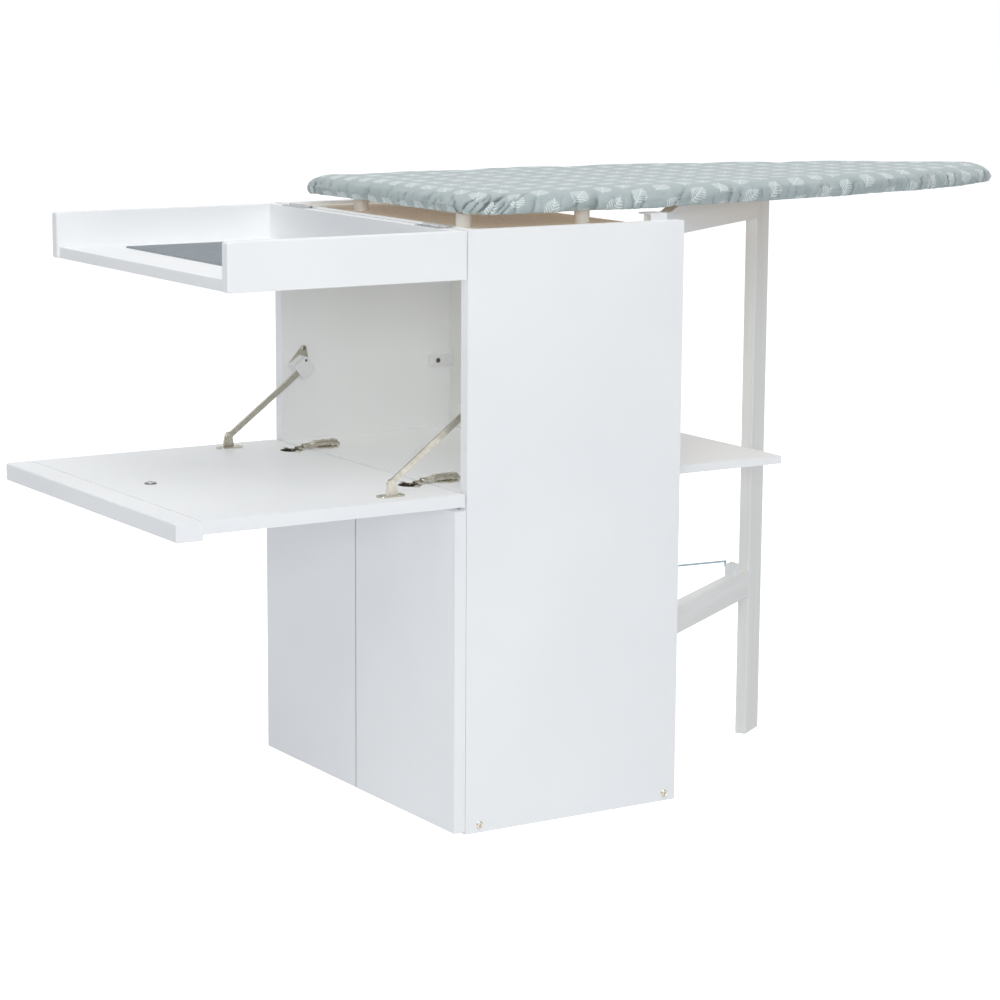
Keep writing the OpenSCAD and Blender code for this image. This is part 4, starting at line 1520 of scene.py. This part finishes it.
@dataclass
class Hardware:
    """Metal fittings in more detail than the construction holds, each seated on its own part."""

    finishes: dict[str, Material]
    heads: ScrewHead = field(default_factory=ScrewHead)
    flap_hinge_x: float = 175.0
    front_y: float = -180.0
    floor_z: float = 487.0
    cup_y: float = -210.0
    lid_hinge_x: float = 195.0
    lid_screws_z: float = 848.53

    def build(self) -> None:
        """Builds every fitting."""
        for side, sign in SIDES:
            self._flap_arm(side, self.flap_hinge_x * sign)
            self._flap_cup(side, self.flap_hinge_x * sign)
        for side, _ in SIDES:
            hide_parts("flap_hinge_arms")
        for side, sign in SIDES:
            self._stay(side, sign)
        # The catch's strike button sits on a washer in the darker steel, whose colour is painted shade
        washer = sleeve((-15.0, -519.0, self.floor_z + 0.4), 9.0, 7.2, 0.8)
        self._wear("strike_washer", [washer], "shaded_steel", "fall_front")
        for side, sign in SIDES:
            self._lid_hinge(side, self.lid_hinge_x * sign)
        self._body_fixings()
        self.heads.close()

    def _wear(self, name: str, parts: Sequence[Piece], finish: str, body: str) -> Piece:
        """Joins, dresses and mounts a fitting.

        Args:
            name: Name of the piece.
            parts: Its shapes.
            finish: Short name of its finish.
            body: Construction body that it moves with.

        Returns:
            The piece.
        """
        return finished(joined(name, parts), self.finishes[finish], body)

    def _flap_arm(self, side: str, x: float) -> None:
        """Builds the fixed half of a concealed hinge: plate, hollow arm, screws, pins, plates of the link.

        Args:
            side: Name of the side.
            x: Place across the cupboard, in millimetres.
        """
        y, z = self.front_y, self.floor_z
        parts = [
            slab((x - 12, y + 12, z), (x + 12, y + 44, z + 2), 0.6),
            slab((x - 16, y + 24, z), (x + 16, y + 34, z + 1.6), 0.5),
            slab((x - 7.6, y + 4, z + 2.2), (x + 7.6, y + 47, z + 9.5), 1.6, 0.78),
            slab((x - 5.6, y + 8, z + 9), (x + 5.6, y + 46, z + 11.6), 1.0, 0.8),
            slab((x - 8.6, y + 34, z + 2), (x + 8.6, y + 49, z + 7.5), 1.2),
            slab((x - 6.2, y - 11.8, z + 2.0), (x - 3.4, y + 8, z + 7.4), 0.9),
            slab((x + 3.4, y - 11.8, z + 2.0), (x + 6.2, y + 8, z + 7.4), 0.9),
            drum((x, y - 6.5, z + 4.6), 1.6, 13.0, 0.3, across=True),
            drum((x, y + 3.5, z + 6.4), 1.8, 13.6, 0.3, across=True),
            self.heads.at((x, y + 24, z + 11.5), 2.9),
            self.heads.at((x, y + 39, z + 11.5), 3.2, 0.9),
            self.heads.at((x - 13.2, y + 29, z + 1.6), 2.5),
            self.heads.at((x + 13.2, y + 29, z + 1.6), 2.5, 1.1),
        ]
        self._wear(f"flap_hinge_arm_{side}", parts, "nickel", "body")
        # The link is in the darker steel, a painted shade
        link = slab((x - 3.6, y - 11.4, z + 1.6), (x + 3.6, y + 4, z + 4.4), 0.9)
        self._wear(f"flap_hinge_link_{side}", [link], "shaded_steel", "body")

    def _flap_cup(self, side: str, x: float) -> None:
        """Lines a hinge cup with its dark damper housing, adds its lever and screws its wings down.

        Args:
            side: Name of the side.
            x: Place across the cupboard, in millimetres.
        """
        y, z = self.cup_y, self.floor_z
        lining = [sleeve((x, y, z - 4.6), 16.3, 14.6, 9.0), drum((x, y, z - 9.2), 15.2, 1.2, 0.3)]
        self._wear(f"flap_cup_lining_{side}", lining, "dark", "fall_front")
        lever = []
        for cheek in (x - 7.7, x + 7.7):
            lever.append(slab((cheek - 0.8, y + 4.0, z - 6.0), (cheek + 0.8, y + 13.6, z + 0.6), 0.4))
            lever.append(slab((cheek - 0.8, y + 9.0, z + 0.2), (cheek + 0.8, y + 20.4, z + 3.6), 0.5))
        self._wear(f"flap_cup_lever_{side}", lever, "nickel", "fall_front")
        screws = [self.heads.at((x + s * 20.2, y, z + 0.9), 2.3, 0.5 + s) for s in (-1, 1)]
        self._wear(f"flap_cup_screws_{side}", screws, "nickel", "fall_front")

    def _stay(self, side: str, sign: int) -> None:
        """Screws a stay's foot and guide plate down and rivets its guide.

        Args:
            side: Name of the side.
            sign: 1 on the right, -1 on the left.
        """
        x = 242.0 * sign
        # Screws in the darker steel, a painted shade
        feet = [self.heads.at((x, -280 + dy, self.floor_z + 1.2), 2.7, 0.3 + dy) for dy in (-14.5, 14.5)]
        self._wear(f"stay_foot_screws_{side}", feet, "shaded_steel", "fall_front")
        plate = self.heads.at((258.6 * sign, -142.0, 627.0), 2.7, facing=(-sign, 0, 0))
        self._wear(f"stay_plate_screw_{side}", [plate], "shaded_steel", "body")
        rivet = drum((237.1 * sign, -150.5, 611.5), 2.1, 1.4, 0.5, across=True)
        self._wear(f"stay_guide_rivet_{side}", [rivet], "shaded_steel", "body")

    def _lid_hinge(self, side: str, x: float) -> None:
        """Adds the countersunk screws of a lid hinge, three in each leaf.

        Args:
            side: Name of the side.
            x: Place across the cupboard, in millimetres.
        """
        rows = (("lid_hinge_screws", -170.6, 0, "body"), ("lid_screws", -191.4, 1, "lid"))
        for name, y, turn, body in rows:
            # Screws in the darker steel, a painted shade
            screws = [self.heads.at((x + dx, y, self.lid_screws_z), 2.9, dx + turn) for dx in (-24, 0, 24)]
            self._wear(f"{name}_{side}", screws, "shaded_steel", body)

    def _body_fixings(self) -> None:
        """Puts cross-head screws in the side panels and the corner block."""
        places = [(282.0, -157.0, 1), (282.0, 161.0, 1), (-282.0, -157.0, -1), (-282.0, 106.0, -1)]
        screws = [self.heads.at((x, y, 11.0), 4.6, 0.7 + y, (s, 0, 0)) for x, y, s in places]
        self._wear("body_screw_heads", screws, "nickel", "body")
        # Screw in the darker steel, a painted shade
        block = self.heads.at((-251.0, 92.0, 594.5), 3.9, 0.2, (1, 0, 0))
        self._wear("corner_block_screw", [block], "shaded_steel", "body")


# Light, floor and camera


@dataclass(frozen=True)
class Lamp:
    """A square area lamp that faces the object."""

    name: str
    place: Point
    size: float
    watts: float
    shadow: bool = True

    def hang(self, centre: Point) -> None:
        """Adds the lamp to the studio.

        Args:
            centre: Point that it faces.
        """
        data = bpy.data.lights.new(self.name, "AREA")
        data.shape = "SQUARE"
        data.size = self.size
        data.energy = self.watts
        data.use_shadow = self.shadow
        lamp = bpy.data.objects.new(self.name, data)
        bpy.context.scene.collection.objects.link(lamp)
        lamp.location = self.place
        lamp.rotation_euler = (Vector(centre) - Vector(self.place)).to_track_quat("-Z", "Y").to_euler()
        LOG.info("lamp %s hangs at %s", self.name, self.place)


@dataclass
class Studio:
    """Bright white studio: broad soft light from above, weaker lamps round it, and a faint shadow."""

    centre: Point = (0.0, 0.05, 0.5)
    camera_at: Point = (3.668, -2.265, 1.195)
    camera_yaw: float = 32.26
    camera_pitch: float = 10.20
    camera_roll: float = 0.38
    focal_px: float = 2934.0
    photo_px: float = 1000.0
    sensor_mm: float = 36.0
    gloss_sees: float = 0.7
    sky: Colour = (0.93, 0.96, 1.0, 1.0)
    sky_strength: float = 0.49
    floor_glow: float = 0.72
    lamps: tuple[Lamp, ...] = (
        Lamp("key", (2.6, -1.2, 3.6), 2.6, 46.0),
        Lamp("overhead", (-0.4, 0.3, 4.2), 3.4, 16.0),
        Lamp("left", (-3.6, -2.4, 2.4), 2.4, 8.0),
        # Beside the lens, it reaches every surface that the camera sees, so the cupboard isn't dark
        Lamp("lens", (4.0, -2.5, 1.5), 0.9, 46.0),
        # Light from the white ceiling, which reaches the flap and the shelf under what hangs over them
        Lamp("ceiling", (0.0, 0.0, 4.4), 3.0, 36.0, shadow=False),
        Lamp("rear", (-1.8, 4.2, 2.6), 2.4, 18.0),
    )

    def build(self) -> None:
        """Sets the world, the floor, the lamps and the camera."""
        self._world()
        self._floor()
        for lamp in self.lamps:
            lamp.hang(self.centre)
        self._camera()

    def _white_share(self, tree: Tree) -> Socket:
        """Gives how much of the white background a ray sees: all of it for the camera, less for gloss.

        Args:
            tree: Node tree of the world or the floor.

        Returns:
            The share's socket.
        """
        rays = add_node(tree, "ShaderNodeLightPath").outputs
        direct = math_node(tree, "MAXIMUM", rays["Is Camera Ray"], rays["Is Transmission Ray"])
        gloss = math_node(tree, "MULTIPLY", rays["Is Glossy Ray"], self.gloss_sees)
        return math_node(tree, "MAXIMUM", direct, gloss)

    def _world(self) -> None:
        """Makes the background white for the camera and even grey-white for light."""
        world = bpy.data.worlds.new("studio")
        bpy.context.scene.world = world
        world.use_nodes = True
        tree = world.node_tree
        tree.nodes.clear()
        sky = {"Color": self.sky, "Strength": self.sky_strength}
        lit = add_node(tree, "ShaderNodeBackground", inputs=sky)
        seen = add_node(tree, "ShaderNodeBackground", inputs={"Color": WHITE, "Strength": 1.0})
        shares = {0: self._white_share(tree), 1: lit.outputs[0], 2: seen.outputs[0]}
        mix = add_node(tree, "ShaderNodeMixShader", inputs=shares)
        add_node(tree, "ShaderNodeOutputWorld", inputs={"Surface": mix.outputs[0]})

    def _floor(self) -> None:
        """Lays a white floor that keeps a faint contact shadow."""
        floor = added(bpy.ops.mesh.primitive_plane_add, size=40, location=(0, 0, 0))
        floor.name = "studio_floor"
        made, tree = new_material("floor_white")
        matte = add_node(tree, "ShaderNodeBsdfDiffuse", inputs={"Color": (0.8, 0.8, 0.8, 1.0)})
        glow = add_node(tree, "ShaderNodeEmission", inputs={"Color": WHITE, "Strength": self.floor_glow})
        both = add_node(tree, "ShaderNodeAddShader", inputs={0: matte.outputs[0], 1: glow.outputs[0]})
        plain = add_node(tree, "ShaderNodeBsdfDiffuse", inputs={"Color": (0.75, 0.76, 0.78, 1.0)})
        shares = {0: self._white_share(tree), 1: plain.outputs[0], 2: both.outputs[0]}
        mix = add_node(tree, "ShaderNodeMixShader", inputs=shares)
        add_node(tree, "ShaderNodeOutputMaterial", inputs={"Surface": mix.outputs[0]})
        floor.data.materials.append(made)

    def _camera(self) -> None:
        """Places the camera that matches the photograph's viewpoint."""
        yaw, pitch, roll = (math.radians(v) for v in (self.camera_yaw, self.camera_pitch, self.camera_roll))
        ahead = Vector((-math.cos(yaw), math.sin(yaw), 0))
        right = Vector((math.sin(yaw), math.cos(yaw), 0))
        up = Vector((0, 0, 1))
        look = ahead * math.cos(pitch) - up * math.sin(pitch)
        head = up * math.cos(pitch) + ahead * math.sin(pitch)
        across = right * math.cos(roll) + head * math.sin(roll)
        crown = -right * math.sin(roll) + head * math.cos(roll)
        data = bpy.data.cameras.new("camera")
        data.sensor_width = self.sensor_mm
        data.lens = self.focal_px / self.photo_px * self.sensor_mm
        camera = bpy.data.objects.new("camera", data)
        bpy.context.scene.collection.objects.link(camera)
        turn = Matrix((across, crown, -look)).transposed().to_4x4()
        camera.matrix_world = Matrix.Translation(self.camera_at) @ turn
        bpy.context.scene.camera = camera


def settings() -> None:
    """Sets the plain view transform and lets light bounce deep into the open cupboard."""
    scene = bpy.context.scene
    scene.cycles.max_bounces = 14
    scene.cycles.diffuse_bounces = 10
    scene.view_settings.view_transform = "Standard"


def main() -> None:
    """Builds and dresses the cabinet."""
    settings()
    finishes = finish_library()
    Dresser(finishes).dress(frame["nodes"])
    Hardware(finishes).build()
    BoardCover().build(finishes["cotton"])
    Studio().build()


if __name__ == "__main__":
    main()
